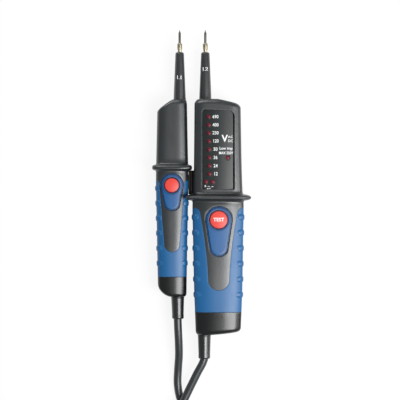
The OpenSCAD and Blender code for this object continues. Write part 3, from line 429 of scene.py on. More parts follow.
class Handle:
    """Sizes of one handle, all in mm, and its surface."""

    crown = 6.0
    crown_power = 2.2
    back_round = 4.0
    bevel = 1.4
    bore = 5.0
    fillet_end = 1.7

    def __init__(self, **sizes):
        self.__dict__.update(sizes)

    def bevel_rows(self):
        """Rows and insets of the bevelled top: reach (1 - cos^b) down, drop (1 - sin^b) in, where b
        is 1 for a quarter circle and 2 for a flat chamfer."""
        angle = np.radians(np.linspace(0, 90, 11))
        rows = self.top_round * (1 - np.clip(np.cos(angle), 0, 1) ** self.bevel)
        return rows, self.top_drop * (1 - np.sin(angle) ** self.bevel)

    def guard(self, s):
        """The finger guard's reach: (1 - u^a)^(1/a) across its thickness, and a fillet at its
        root that falls off by a square up to fillet_end."""
        u = np.abs(s - self.guard_s) / self.guard_half
        near = (self.fillet_end - u) / (self.fillet_end - 1)
        fillet = self.guard_fillet * np.clip(near, 0, 1) ** 2
        blunt = np.clip(1 - u ** self.guard_blunt, 0, None) ** (1 / self.guard_blunt)
        return np.maximum(self.guard_out * blunt, fillet)

    def guard_rows(self):
        """Rows over the guard, even in angle across its ellipse and close in its fillets."""
        fillet = np.linspace(1.02, self.fillet_end, 7)
        middle = np.sin(np.radians(np.linspace(-88, 88, 31)))
        return self.guard_s + self.guard_half * np.concatenate([-fillet[::-1], middle, fillet])

    def sides(self, s):
        """Left side, right side and front height at s."""
        q = s / self.length
        g = self.guard(s)
        left = -self.left * smooth(self.left_shares, q) - g
        right = self.right * smooth(self.right_shares, q) + g
        return left, right, self.depth * smooth(self.front_shares, q) + g

    def front_z(self, x, s):
        """Height of the front: a crown H (1 - |t|^p)^(1/r) over straight sides, with t across
        from -1 to 1."""
        left, right, top = self.sides(s)
        t = (2 * x - left - right) / (right - left)
        return top - self.crown + self.crown_at(t, s)

    def back_z(self, x, s):
        """Height of the back: flat, with a quarter circle at each side."""
        left, right, _ = self.sides(s)
        r = self.back_round
        out = np.clip(np.maximum(x - right + r, left + r - x), 0, r)
        return r - np.sqrt(r * r - out * out)

    def top_back_z(self, x, s):
        """The back near the slanted top: the back's height and the top's bevel."""
        left, right, _ = self.sides(s)
        into = s - slant(self.top_slant, (2 * x - left - right) / (right - left))
        lift = 1 - np.clip(into / self.top_round, 0, 1)
        curve = (1 - lift ** (2 / self.bevel)) ** (self.bevel / 2)
        return self.back_z(x, s) + self.top_drop * (1 - curve)

    def crown_at(self, t, s):
        """The crown's height across; its power p goes from the housing's to the grip's in 8 mm."""
        p = self.power_top + (self.power_low - self.power_top) * step((s - self.power_s) / 8.0)
        return self.crown * np.clip(1 - np.abs(t) ** p, 0, None) ** (1 / self.crown_power)

    def world(self, x, s, z):
        """Local places as points in the shared frame."""
        x, s, z = np.broadcast_arrays(x, s, z)
        return np.stack([self.x + x, TOP_Y - s, z], -1)

    def on_front(self, x, s, up=0.0):
        """Local places on the front, lifted by up, as points in the shared frame."""
        return self.world(x, s, self.front_z(x, s) + up)

    def middle(self):
        """The handle's middle, from which its shells look away."""
        return self.x + (self.right - self.left) / 2, TOP_Y - self.length / 2, AXIS_Z

    def ledge(self, x, z):
        """Where the main guard reaches over the probe handle, its underside steps back."""
        if self.lap is None:
            return x
        return np.where((x < self.lap) & (z < self.lap_z), self.lap, x)

    def front_ring(self, s, t, f, inset=0.0, tight=(1.0, 1.0)):
        """Points of the front at s: t goes across, and an f below 1 goes down the side towards the
        parting line. An inset draws the section in for the rounded ends, by the shares tight at
        left and right."""
        left, right, top = self.sides(s)
        low, high = left + inset * tight[0], right - inset * tight[1]
        x = (low + high) / 2 + (high - low) / 2 * t
        z = top - self.crown + self.crown_at(t, s)
        z = AXIS_Z + (z - AXIS_Z) * f * (top - AXIS_Z - inset) / (top - AXIS_Z)
        return self.world(self.ledge(x, z), s, z)

    def back_ring(self, s, v, off, z, inset=0.0, tight=(1.0, 1.0)):
        """Points of the sides and back at s: v goes from the left side to the right one, and off
        shifts them in x."""
        left, right, _ = self.sides(s)
        x = (left + inset * tight[0]) * (1 - v) + (right - inset * tight[1]) * v + off
        return self.world(self.ledge(x, z), s, AXIS_Z - (AXIS_Z - z) * (AXIS_Z - inset) / AXIS_Z)


MAIN = Handle(
    name="main", x=3.056, length=188.6, left=10.3, right=30.6, depth=30.0,
    left_shares=[[0, .84], [.25, .88], [.4, .92], [.45, 1], [.6, .95], [.8, .87], [1, .74]],
    right_shares=[[0, .92], [.25, .945], [.4, .975], [.45, 1], [.6, .985], [.8, .965], [1, .92]],
    front_shares=[[0, .93], [.39, .93], [.45, 1], [.7, 1], [1, .9]],
    guard_s=78.6, guard_out=6.3, guard_half=2.5, guard_blunt=2.1, guard_fillet=0.9,
    lap=-11.1, lap_z=25.2,
    power_top=7.0, power_low=2.5, power_s=76.0, corner=3.0, socket=None,
    top_slant=(1, 3.4, 0.5, 1.15), tail_slant=(1, 2.2, 0.8, 1.4), top_round=3.6, top_drop=2.4,
    top_tight=(1.2, 1.42), tail_tight=(0.75, 1.3), tail_round=3.6,
    grip_s=87.1, cap_s=170.0, lead_x=-0.8, relief_end=-132.2, relief_bow=0.0,
    screw_x=22.95, screw_s=5.45,
    button_x=10.6, button_s=96.3, button_r=7.3, surround_len=22.0,
    tongue_w=15.7, tongue_end_w=8.5, tongue_end_s=152.6, tongue_bow=1.6,
    bump_from=94.3, bump_pitch=12.35, bumps_left=range(6), bumps_right=range(6),
)
PROBE = Handle(
    name="probe", x=-17.544, length=158.2, left=19.0, right=7.0, depth=24.0,
    left_shares=[[0, .93], [.2, .97], [.42, 1], [.6, .97], [.8, .94], [1, .91]],
    right_shares=[[0, .83], [.2, .91], [.42, .99], [.6, .92], [.8, .84], [1, .78]],
    front_shares=[[0, .92], [.3, .92], [.38, 1], [.7, 1], [1, .9]],
    guard_s=54.6, guard_out=3.1, guard_half=2.2, guard_blunt=2.8, guard_fillet=0.7,
    lap=None, lap_z=0.0,
    power_top=4.2, power_low=2.6, power_s=52.0, corner=1.9, socket=(60.1, 72.3),
    top_slant=(0, 6.7, 0.5, 1.3), tail_slant=(0, 8.4, 0.5, None), top_round=3.4, top_drop=2.1,
    top_tight=(1.43, 0.37), tail_tight=(0.3, 0.7), tail_round=2.6,
    grip_s=65.0, cap_s=142.0, lead_x=-1.6, relief_end=-100.2, relief_bow=0.25,
    screw_x=-13.68, screw_s=26.9,
    button_x=-6.1, button_s=68.8, button_r=6.0, surround_len=14.0,
    tongue_w=10.4, tongue_end_w=6.2, tongue_end_s=122.2, tongue_bow=1.0,
    bump_from=71.2, bump_pitch=12.0, bumps_left=range(6), bumps_right=range(1, 6),
)


ROUND_POWER = 1.7


def slant(rule, t):
    """How much lower an end lies at t across: nothing on its level part, then a power of the way,
    or a quarter of a superellipse, 1 - (1 - way^p)^(1/p), where the rule gives no power."""
    side, deep, share, power = rule
    u = (1 + t) / 2 if side else (1 - t) / 2
    way = np.clip((u - (1 - share)) / share, 0, None)
    if power is None:
        return deep * (1 - (1 - np.minimum(way, 1) ** ROUND_POWER) ** (1 / ROUND_POWER))
    return deep * way ** power


def normals(grid):
    """Unit normals of a grid of points, across its columns and rows."""
    n = np.cross(np.gradient(grid, axis=1), np.gradient(grid, axis=0))
    return n / np.maximum(np.linalg.norm(n, axis=-1, keepdims=True), 1e-9)


def unit(v):
    """Vectors at length one."""
    return v / np.maximum(np.linalg.norm(v, axis=-1, keepdims=True), 1e-9)


def turned_edge(path, normal, profile, side=1.0):
    """Rows that round an edge off and turn it down: the path moved by out along its tangent crossed
    with its normal, and by up along the normal."""
    outward = side * unit(np.cross(np.gradient(path, axis=0), normal))
    return np.stack([path + outward * out + normal * up for out, up in profile])


# Edge profiles, each row inwards or outwards and up; the gap between pieces that meet
EDGE = [(0, 0), (0.1, -0.02), (0.2, -0.1), (0.26, -0.24), (0.28, -1.3)]
RECESS = [(0, 0), (0.1, -0.03), (0.22, -0.14), (0.3, -0.32), (0.34, -1.5)]
SEAT = [(0, 0), (0.06, -0.02), (0.14, -0.1), (0.18, -0.25), (0.2, -1.6)]
SCREW_WELL = [(0, 0), (0.05, 0.05), (0.12, 0.12), (0.12, 3.2)]
SEAT_GROW, SCREW_WELL_R = 0.45, 1.55
GAP = 0.4
WINDOW_MARGIN = 1.2


def loop_of(rows, columns, r0, r1, c0, c1):
    """Indices round a block of a grid, in one turn."""
    index = np.arange(rows * columns).reshape(rows, columns)
    return np.concatenate([
        index[r0, c0:c1], index[r0:r1, c1], index[r1, c1:c0:-1], index[r1:r0:-1, c0]
    ])


def reach_at(outline, middle, angle):
    """How far an outline lies from a middle, in each of the directions asked for."""
    out = outline - middle
    around = np.arctan2(out[:, 1], out[:, 0])
    order = np.argsort(around)
    reach = np.hypot(out[:, 0], out[:, 1])
    return np.interp(angle, around[order], reach[order], period=2 * np.pi)


def inward_of(rim, middle):
    """Unit vectors square to a closed outline, on its middle's side."""
    way = unit(np.roll(rim, -1, axis=0) - np.roll(rim, 1, axis=0))
    inward = np.stack([-way[:, 1], way[:, 0]], -1)
    return inward * np.sign(np.sum(inward * (middle - rim)))


def window(skin, handle, border, outline, profile, surface, rows=5):
    """Fills from a block's border to an outline: each border point is joined to the outline's point
    on the same ray from its middle; then the profile's rows (inwards, up) turn the edge down."""
    start = np.stack([border[:, 0] - handle.x, TOP_Y - border[:, 1]], -1)
    middle = (outline.min(0) + outline.max(0)) / 2
    angle = np.arctan2(start[:, 1] - middle[1], start[:, 0] - middle[0])
    ray = np.stack([np.cos(angle), np.sin(angle)], -1)
    rim = middle + reach_at(outline, middle, angle)[:, None] * ray
    share = np.linspace(0, 1, rows)[:, None, None]
    x, s = np.moveaxis(start * (1 - share) + rim * share, -1, 0)
    flat = handle.world(x, s, surface(x, s))
    flat[0] = border
    inward, level = inward_of(rim, middle), surface(rim[:, 0], rim[:, 1])
    walls = [handle.world(*(rim + inward * back).T, level + up) for back, up in profile[1:]]
    skin.add(np.concatenate([flat, np.stack(walls)]), closed=True)


def even_outline(points, count=1600):
    """The closed outline through points, in even steps along its length."""
    closed = np.vstack([points, points[:1]])
    length = np.concatenate([[0], np.cumsum(np.hypot(*np.diff(closed, axis=0).T))])
    even = np.linspace(0, length[-1], count, endpoint=False)
    return np.stack([np.interp(even, length, closed[:, k]) for k in (0, 1)], -1)


def rounded(corners, steps=14):
    """Outline through corners (x, s, radius), each rounded by its own arc."""
    corners = np.array(corners, float)
    out = []
    for k, (x, s, r) in enumerate(corners):
        here = np.array([x, s])
        back = unit(corners[k - 1][:2] - here)
        ahead = unit(corners[(k + 1) % len(corners)][:2] - here)
        half = np.arccos(np.clip(np.dot(back, ahead), -1, 1)) / 2
        centre = here + unit(back + ahead) * r / np.sin(half)
        start, end = here + back * r / np.tan(half), here + ahead * r / np.tan(half)
        a0 = np.arctan2(*(start - centre)[::-1])
        turn = (np.arctan2(*(end - centre)[::-1]) - a0 + np.pi) % (2 * np.pi) - np.pi
        a = a0 + turn * np.linspace(0, 1, steps)
        out.append(centre + r * np.stack([np.cos(a), np.sin(a)], -1))
    return even_outline(np.concatenate(out))


def panel_recess():
    """Outline of the display's recess, its top slanting down and its top right corner wider."""
    return rounded([(-2.75, 8.1, 2.6), (23.3, 9.5, 5.0), (23.3, 72.35, 1.4), (-2.75, 72.35, 1.4)])


SURROUND_RIM, FOOT_SHARE = 3.2, 0.68


def teardrop(handle, grow):
    """Outline of a button's surround: a round head, straight tangents and a smaller round foot."""
    head_r = handle.button_r + SURROUND_RIM
    r, foot = head_r + grow, head_r * FOOT_SHARE + grow
    lean = np.arcsin((r - foot) / handle.surround_len)
    head = np.linspace(-lean, np.pi + lean, 900)
    tail = np.linspace(np.pi + lean, 2 * np.pi - lean, 700)
    x = np.concatenate([r * np.cos(head), foot * np.cos(tail)])
    s = np.concatenate([-r * np.sin(head), handle.surround_len - foot * np.sin(tail)])
    return even_outline(np.stack([handle.button_x + x, handle.button_s + s], -1))


def tongue_half(handle, s):
    """Half the tongue's width at s: from its top width to its end's by a power of the way left."""
    end = handle.tongue_end_s - handle.tongue_end_w
    left_over = np.clip(1 - (s - handle.grip_s) / (end - handle.grip_s), 0, 1)
    wide = handle.tongue_w - handle.tongue_end_w
    return handle.tongue_end_w + wide * left_over ** handle.tongue_bow


def front_normals(handle, points):
    """Outward normals of the front at some of its points, from small steps to all sides."""
    h, tiny = handle, 0.01
    x, s = points[:, 0] - h.x, TOP_Y - points[:, 1]
    across = (h.front_z(x + tiny, s) - h.front_z(x - tiny, s)) / (2 * tiny)
    down = (h.front_z(x, s + tiny) - h.front_z(x, s - tiny)) / (2 * tiny)
    return unit(np.stack([-across, down, np.ones_like(x)], -1))


def close_in(n, power=2.5):
    """Shares from 0 to 1 that crowd towards 1."""
    return 1 - (1 - np.linspace(0, 1, n)) ** power


def housing_rows(handle, gap, below):
    """Rows from the bevelled top over the guard to the grip, about a gap apart with a number of
    them below the guard, and their insets."""
    h = handle
    top, inset = h.bevel_rows()
    guard = h.guard_rows()
    rows = np.concatenate([
        top, np.linspace(h.top_round, guard[0], int((guard[0] - h.top_round) / gap))[1:-1],
        guard, np.linspace(guard[-1], h.grip_s - GAP / 2, below)[1:],
    ])
    if h.socket:
        rows = np.sort(np.append(rows, h.socket[0]))
    return rows, np.concatenate([inset, np.zeros(len(rows) - len(inset))])[:, None]


def slanted(handle, rows, t):
    """The rows' places along the handle: as slanted as its top there, and level 16 mm further."""
    fade = 1 - step((rows - handle.top_round) / 16.0)
    return rows[:, None] + slant(handle.top_slant, t)[None, :] * fade[:, None]


# Columns of a front shell: down a side, over a wing, of it over the tongue's fillet, and over the
# tongue; and rows over that fillet
SIDE, WING, FILLET, TONGUE, BEND = 6, 15, 5, 45, 8


def front_columns(handle, middle, half):
    """Across the front from the right parting line to the left one: places t, heights f down the
    side, and the places over the tongue."""
    h = handle
    t0, t1 = [(h.button_x + way * h.tongue_w - middle) / half for way in (1, -1)]
    near = h.corner / half * np.linspace(0, 1, FILLET + 1)
    far = close_in(WING - FILLET)[1:]
    wing_r = t0 + np.concatenate([near, near[-1] + (1 - t0 - near[-1]) * far])
    wing_l = t1 - np.concatenate([near, near[-1] + (1 + t1 - near[-1]) * far])
    over = np.linspace(t0 - 0.12 / half, t1 + 0.12 / half, TONGUE)
    side_t = np.array([0.975, 1, 1, 1, 1, 1])
    side_f = np.array([0.0, 0.0, 0.02, 0.3, 0.66, 0.85])
    t = np.concatenate([side_t, wing_r[::-1], over, wing_l, -side_t[::-1]])
    f = np.concatenate([side_f, np.ones(2 * WING + TONGUE), side_f[::-1]])
    return t, f, np.concatenate([[t0], over, [t1]])


def front_shell(handle, windows):
    """Front shell: the housing's front from the rounded, slanted top to the grip, and the tongue
    between the grip's sides, with a window for each recess; then its edges turned down."""
    h = handle
    bottom = h.grip_s - GAP / 2
    left, right, _ = h.sides(np.array(bottom))
    middle, half_w = (left + right) / 2, (right - left) / 2
    t, f, over = front_columns(h, middle, half_w)
    c0 = SIDE + WING - 1
    c1 = c0 + TONGUE + 1
    rows, inset = housing_rows(h, gap=0.9, below=7)
    body = h.front_ring(slanted(h, rows, t), t[None, :], f[None, :], inset, h.top_tight)

    end_s = h.tongue_end_s - h.tongue_end_w
    end_r = h.tongue_end_w - GAP / 2
    arc = np.radians(np.linspace(0, 90, 18))[1:]
    bend = np.radians(np.linspace(0, 90, BEND))
    below = bottom + h.corner
    straight = np.concatenate([
        bottom + h.corner * (1 - np.cos(bend))[:-1],
        np.linspace(below, end_s, int((end_s - below) / 1.1)),
    ])
    tongue_s = np.concatenate([straight, end_s + end_r * np.sin(arc)])
    half = np.concatenate([
        tongue_half(h, straight) - GAP / 2 * np.clip((straight - bottom) / 2, 0, 1),
        end_r * np.cos(arc),
    ])
    tongue_x = h.button_x + half[:, None] * (middle + half_w * over - h.button_x) / h.tongue_w
    tongue = h.on_front(tongue_x, tongue_s[:, None])
    tongue[0] = body[-1, c0:c1 + 1]
    share = np.linspace(0, 1, FILLET + 1)[None, :]
    reach = (h.corner * (1 - np.sin(bend)))[:, None] * share
    fillet_r, fillet_l = [
        h.on_front(tongue_x[:BEND, edge, None] + way * reach, tongue_s[:BEND, None])
        for edge, way in ((0, 1), (-1, -1))
    ]
    fillet_r[0] = body[-1, c0:c0 - FILLET - 1:-1]
    fillet_l[0] = body[-1, c1:c1 + FILLET + 1]

    skin = Skin()
    skin.add(fillet_r)
    skin.add(fillet_l)
    whole = np.concatenate([body[:, c0:c1 + 1], tongue[1:]])
    n_rows, n_cols = whole.shape[:2]
    skip = np.zeros((n_rows - 1, n_cols - 1), bool)
    local_s = TOP_Y - whole[:, n_cols // 2, 1]
    for outline, profile in windows:
        r0 = int(np.searchsorted(local_s, outline[:, 1].min() - WINDOW_MARGIN)) - 1
        r1 = int(np.searchsorted(local_s, outline[:, 1].max() + WINDOW_MARGIN))
        skip[r0:r1, 1:n_cols - 2] = True
        loop = loop_of(n_rows, n_cols, r0, r1, 1, n_cols - 2)
        window(skin, h, whole.reshape(-1, 3)[loop], outline, profile, h.front_z)
    skin.add(whole, skip)
    start = 1
    hole = np.zeros((len(rows) - 1, c0), bool)
    if h.socket:
        hole[np.searchsorted(rows, h.socket[0]):, :4] = True
        start = 4
    skin.add(body[:, :c0 + 1], hole)
    skin.add(body[:, c1:])
    skin.add(end_face(h, body[0], 0.0, h.bore, -1))

    edges = [fillet_r[1:, -1], tongue[BEND:, 0], tongue[-2:BEND - 1:-1, -1], fillet_l[:0:-1, -1]]
    first, last = slice(start, c0 - FILLET + 1), slice(c1 + FILLET, -1)
    n = normals(body)[-1]
    path = np.concatenate([body[-1, first], *edges, body[-1, last]])
    normal = np.concatenate([n[first], *[front_normals(h, edge) for edge in edges], n[last]])
    skin.add(turned_edge(path, unit(normal), EDGE, -1.0))
    return skin


def end_face(handle, ring, centre_x, bore, way):
    """Strips from an end's last ring to its round bore, level with the end's slant.
    way is -1 for the top and 1 for the tail."""
    h = handle
    x, z = ring[:, 0] - h.x, ring[:, 2]
    angle = np.arctan2(z - AXIS_Z, x - centre_x)
    share = np.linspace(0, 1, 7)[:, None]
    px = x * (1 - share) + (centre_x + bore * np.cos(angle)) * share
    pz = z * (1 - share) + (AXIS_Z + bore * np.sin(angle)) * share
    low, high = x.min(), x.max()
    t = 2 * (px - low) / (high - low) - 1
    s, rule = (0.0, h.top_slant) if way < 0 else (h.length, h.tail_slant)
    rows = h.world(px, s - way * slant(rule, t), pz)
    rows[0] = ring
    return rows


BACK_ARC = np.radians(np.linspace(0, 90, 8))[1:]


def back_columns():
    """Across the sides and back, from the left parting line to the right one: shares v, shifts
    and heights, and the number of the corner's last column."""
    r = Handle.back_round
    side_z = np.array([AXIS_Z, AXIS_Z - 0.15, 11.3, 9.7, 6.8, r])
    off = np.concatenate([[0.35], np.zeros(5), r * (1 - np.cos(BACK_ARC))])
    z = np.concatenate([side_z, r * (1 - np.sin(BACK_ARC))])
    z[0] = AXIS_Z
    flat = np.linspace(0, 1, 27)[1:-1]
    v = np.concatenate([np.zeros(len(off)), flat, np.ones(len(off))])
    offs = np.concatenate([off, r * (1 - 2 * flat), -off[::-1]])
    return v, offs, np.concatenate([z, np.zeros(len(flat)), z[::-1]]), len(off) - 1


# Room for a well's window beside the screw's middle: across, and along the handle
WELL_X, WELL_S = 3.3, 3.2


def rear_shell(handle):
    """Rear shell: straight sides, rounded corners and a flat back down to the grip, with the round
    well of the one case screw that shows."""
    h = handle
    v, off, z, corner = back_columns()
    rows, inset = housing_rows(h, gap=1.3, below=6)
    s = slanted(h, rows, 2 * v - 1)
    body = h.back_ring(s, v[None, :], off[None, :], z[None, :], inset, h.top_tight)
    n_rows, n_cols = body.shape[:2]
    skip = np.zeros((n_rows - 1, n_cols - 1), bool)
    flat = np.arange(corner - 5, n_cols - corner + 5)
    x_mid = body[n_rows // 3, flat, 0] - h.x
    c0 = flat[max(np.searchsorted(x_mid, h.screw_x - WELL_X) - 1, 0)]
    c1 = flat[min(np.searchsorted(x_mid, h.screw_x + WELL_X), len(flat) - 1)]
    local_s = TOP_Y - body[:, (c0 + c1) // 2, 1]
    r0 = max(int(np.searchsorted(local_s, h.screw_s - WELL_S)) - 1, 2)
    r1 = int(np.searchsorted(local_s, h.screw_s + WELL_S))
    skip[r0:r1, c0:c1] = True
    border = body.reshape(-1, 3)[loop_of(n_rows, n_cols, r0, r1, c0, c1)]
    turn = np.linspace(0, 2 * np.pi, 400, endpoint=False)
    outline = np.stack([
        h.screw_x + SCREW_WELL_R * np.cos(turn), h.screw_s + SCREW_WELL_R * np.sin(turn)
    ], -1)
    skin = Skin()
    window(skin, h, border, outline, SCREW_WELL, h.top_back_z, rows=3)
    end = -1
    if h.socket:
        skip[np.searchsorted(rows, h.socket[0]):, -4:] = True
        end = -4
    skin.add(body, skip)
    skin.add(end_face(h, body[0], 0.0, h.bore, -1))
    skin.add(turned_edge(body[-1, 1:end], normals(body)[-1, 1:end], EDGE, -1.0))
    return skin


# How far the core lies inside the grip's surface, and reaches under the housing and the cap
CORE_INSET = 1.75
CORE_UP, CORE_DOWN = 2.5, 3.0


def core(handle):
    """The plain tube of the shells under the grip and the cap, drawn in by the grip's wall."""
    h = handle
    rows = np.linspace(h.grip_s - CORE_UP, h.cap_s + CORE_DOWN, 20)
    if h.socket:
        rows = np.sort(np.append(rows, h.socket[1]))
    s = rows[:, None]
    t, f = closed_front()
    v, off, z, _ = back_columns()
    tube_rings = np.concatenate([
        h.front_ring(s, t[None, :], f[None, :], CORE_INSET),
        h.back_ring(s, v[None, 1:-1], off[None, 1:-1], z[None, 1:-1], CORE_INSET),
    ], axis=1)
    hole = np.zeros((len(rows) - 1, tube_rings.shape[1]), bool)
    if h.socket:
        opened = slice(0, np.searchsorted(rows, h.socket[1]))
        hole[opened, :2] = True
        hole[opened, -4:] = True
    skin = Skin()
    skin.add(tube_rings, hole, closed=True)
    return skin


def closed_front(n=26):
    """Across the front from the right side to the left one, crowding towards the corners."""
    half = close_in(n)
    t = np.concatenate([np.ones(4), half[::-1], -half[1:], -np.ones(4)])
    side = np.array([0.0, 0.4, 0.8, 0.9])
    f = np.concatenate([side, np.ones(2 * n - 1), side[::-1]])
    return t, f


RELIEF_SEAT = 5.2


def tail_cap(handle):
    """Tail cap: a closed ring from the grip to the slanted, rounded tail, and its end face down to
    the strain relief's seat."""
    h = handle
    r = h.tail_round
    angle = np.radians(np.linspace(90, 0, 9))[1:]
    start = h.cap_s + GAP / 2
    straight = np.linspace(start, h.length - r, 14)
    rows = np.concatenate([straight, h.length - r * (1 - np.cos(angle))])
    inset = np.concatenate([0 * straight, r * (1 - np.sin(angle))])[:, None]
    fade = step((rows - start - 0.5) / (h.length - r - start))[:, None]
    t, f = closed_front()
    v, off, z = [column[1:-1] for column in back_columns()[:3]]
    z[[0, -1]] = AXIS_Z
    s_front = rows[:, None] - slant(h.tail_slant, t)[None, :] * fade
    s_back = rows[:, None] - slant(h.tail_slant, 2 * v - 1)[None, :] * fade
    ring = np.concatenate([
        h.front_ring(s_front, t[None, :], f[None, :], inset, h.tail_tight),
        h.back_ring(s_back, v[None, :], off[None, :], z[None, :], inset, h.tail_tight),
    ], axis=1)
    skin = Skin()
    skin.add(ring, closed=True)
    skin.add(end_face(h, ring[-1], h.lead_x, RELIEF_SEAT, 1), closed=True)
    n = normals(ring)[0]
    path = np.concatenate([ring[0], ring[0, :1]])
    skin.add(turned_edge(path, np.concatenate([n, n[:1]]), EDGE))
    return skin


# A bump's half lengths along the handle and round its corner, its place and its height
BUMP_S, BUMP_ROUND, BUMP_PLACE, BUMP_OUT = 2.3, 4.6, 2.2, 0.75


def grip(handle):
    """Soft grip: the body's surface from the guard to the cap, open at the front along the tongue.
    Its bumps on the front corners are superellipse hills, each max(0, 1 - r)^0.6 high."""
    h = handle
    end_s = h.tongue_end_s - h.tongue_end_w
    end_r = h.tongue_end_w + GAP / 2
    start, stop = h.grip_s + GAP / 2, h.cap_s - GAP / 2
    arc = np.radians(np.linspace(0, 90, 30))[1:]
    bend = np.radians(np.linspace(0, 90, 10))
    below = start + h.corner
    rows = np.concatenate([
        start + h.corner * (1 - np.cos(bend[:-1])),
        np.linspace(below, end_s, int((end_s - below) / 0.45)),
        end_s + end_r * np.sin(arc),
    ])
    if h.socket:
        rows = np.sort(np.append(rows, h.socket[1]))
    half = np.concatenate([tongue_half(h, rows[:-len(arc)]) + GAP / 2, end_r * np.cos(arc)])
    short = np.clip(below - rows, 0, h.corner)
    half += h.corner - np.sqrt(h.corner ** 2 - short ** 2)
    apex = len(rows) - 1
    rest = np.linspace(rows[-1], stop, int((stop - rows[-1]) / 0.5) + 2)[1:]
    rows, half = np.concatenate([rows, rest]), np.concatenate([half, 0 * rest])
    left, right, top = [c[:, None] for c in h.sides(rows)]
    s = rows[:, None]
    q = close_in(20, 2.4)[None, :]
    edge_r, edge_l = h.button_x + half[:, None], h.button_x - half[:, None]
    front_r = edge_r + (right - edge_r) * q
    front_l = edge_l + (left - edge_l) * q
    down = np.array([0.12, 0.25, 0.36, 0.48, 0.593, 0.7, 0.8, 0.9, 1.0])[None, :]
    low = h.back_round
    side = (top - h.crown) * (1 - down) + low * down
    turn = low * (1 - np.cos(BACK_ARC))[None, :]
    rise = low * (1 - np.sin(BACK_ARC))[None, :] + 0 * s
    v = np.linspace(0, 1, 19)[None, 1:-1]
    x = np.hstack([
        front_r, right + 0 * down, right - turn, (right - low) * (1 - v) + (left + low) * v,
        (left + turn)[:, ::-1], left + 0 * down, front_l[:, ::-1],
    ])
    z = np.hstack([
        h.front_z(front_r, s), side, rise, 0 * s * v, rise[:, ::-1], side[:, ::-1],
        h.front_z(front_l, s)[:, ::-1],
    ])
    n_front = q.shape[1]
    grid = h.world(x, s, z)

    section = grid[..., [0, 2]]
    across = np.gradient(section, axis=1)
    out = unit(np.stack([across[..., 1], -across[..., 0]], -1))
    axis = np.array([h.x + h.button_x, AXIS_Z])
    out = out * np.sign(np.sum(out * (section - axis), -1, keepdims=True))
    length = np.zeros(grid.shape[:2])
    length[:, 1:] = np.cumsum(np.linalg.norm(np.diff(grid, axis=1), axis=-1), axis=1)
    from_right = length[:, n_front - 1:n_front] - length
    from_left = length - length[:, -n_front:-n_front + 1]
    proud = np.zeros(grid.shape[:2])
    for places, inward in ((h.bumps_right, from_right), (h.bumps_left, from_left)):
        for k in places:
            along = np.abs(s - h.bump_from - h.bump_pitch * k) / BUMP_S
            r = along ** 3 + (np.abs(inward - BUMP_PLACE) / BUMP_ROUND) ** 3
            proud = np.maximum(proud, BUMP_OUT * np.clip(1 - r, 0, None) ** 0.6)
    grid[..., [0, 2]] += out * proud[..., None]

    skin = Skin()
    hole = np.zeros((grid.shape[0] - 1, grid.shape[1] - 1), bool)
    n = -normals(grid)
    tongue = [(slice(apex, 0, -1), 0), (0, slice(None)), (slice(1, apex + 1), -1)]
    runs = [tongue]
    if h.socket:
        hole[:np.searchsorted(rows, h.socket[1]), n_front:n_front + 4] = True
        above, under = slice(0, n_front + 1), slice(n_front + 4, None)
        runs = [[tongue[0], (0, above)], [(0, under), tongue[2]]]
    skin.add(grid, hole)
    for run in runs:
        path, normal = [np.concatenate([field[part] for part in run]) for field in (grid, n)]
        skin.add(turned_edge(path, unit(normal), EDGE, -1.0))
    skin.add(turned_edge(grid[-1], n[-1], EDGE))
    return skin


def turned_piece(profile, centre, bend=None, sides=48):
    """A piece turned on an axis along Y: rows (y, radius) round the line centre = (x, z), which
    bend(y) moves in x."""
    y, r = np.array(profile, float).T[:, :, None]
    a = np.linspace(0, 2 * np.pi, sides, endpoint=False)
    x = centre[0] + (0 if bend is None else bend(y))
    skin = Skin()
    rings = [x + r * np.cos(a), y + 0 * a, centre[1] + r * np.sin(a)]
    skin.add(np.stack(rings, -1), closed=True)
    return skin


def upright(radius, z, x, y, sides=32):
    """Rings of a piece turned on an upright axis at (x, y): a radius and a height for each row."""
    a = np.linspace(0, 2 * np.pi, sides, endpoint=False)
    r = np.asarray(radius)[:, None]
    return np.stack([x + r * np.cos(a), y + r * np.sin(a), np.asarray(z)[:, None] + 0 * a], -1)


def capped(rings):
    """Rings with both ends closed by a ring drawn together in its middle."""
    ends = [np.repeat(rings[k].mean(0)[None, None], rings.shape[1], 1) for k in (0, -1)]
    return np.concatenate([ends[0], rings, ends[1]])


def rounded_steps(points, r=0.25, steps=5):
    """A turned profile whose inner points are each rounded by a small curve: a quadratic between
    the points that lie r before and after the corner."""
    points = np.array(points, float)
    out = [points[0]]
    for k in range(1, len(points) - 1):
        before, here, after = points[k - 1], points[k], points[k + 1]
        size = min(r, np.linalg.norm(here - before) / 2.2, np.linalg.norm(after - here) / 2.2)
        p, q = here + unit(before - here) * size, here + unit(after - here) * size
        for u in np.linspace(0, 1, steps):
            out.append((1 - u) ** 2 * p + 2 * u * (1 - u) * here + u * u * q)
    out.append(points[-1])
    return out


# Lead between the handles: route's points as in the solid model, in metres

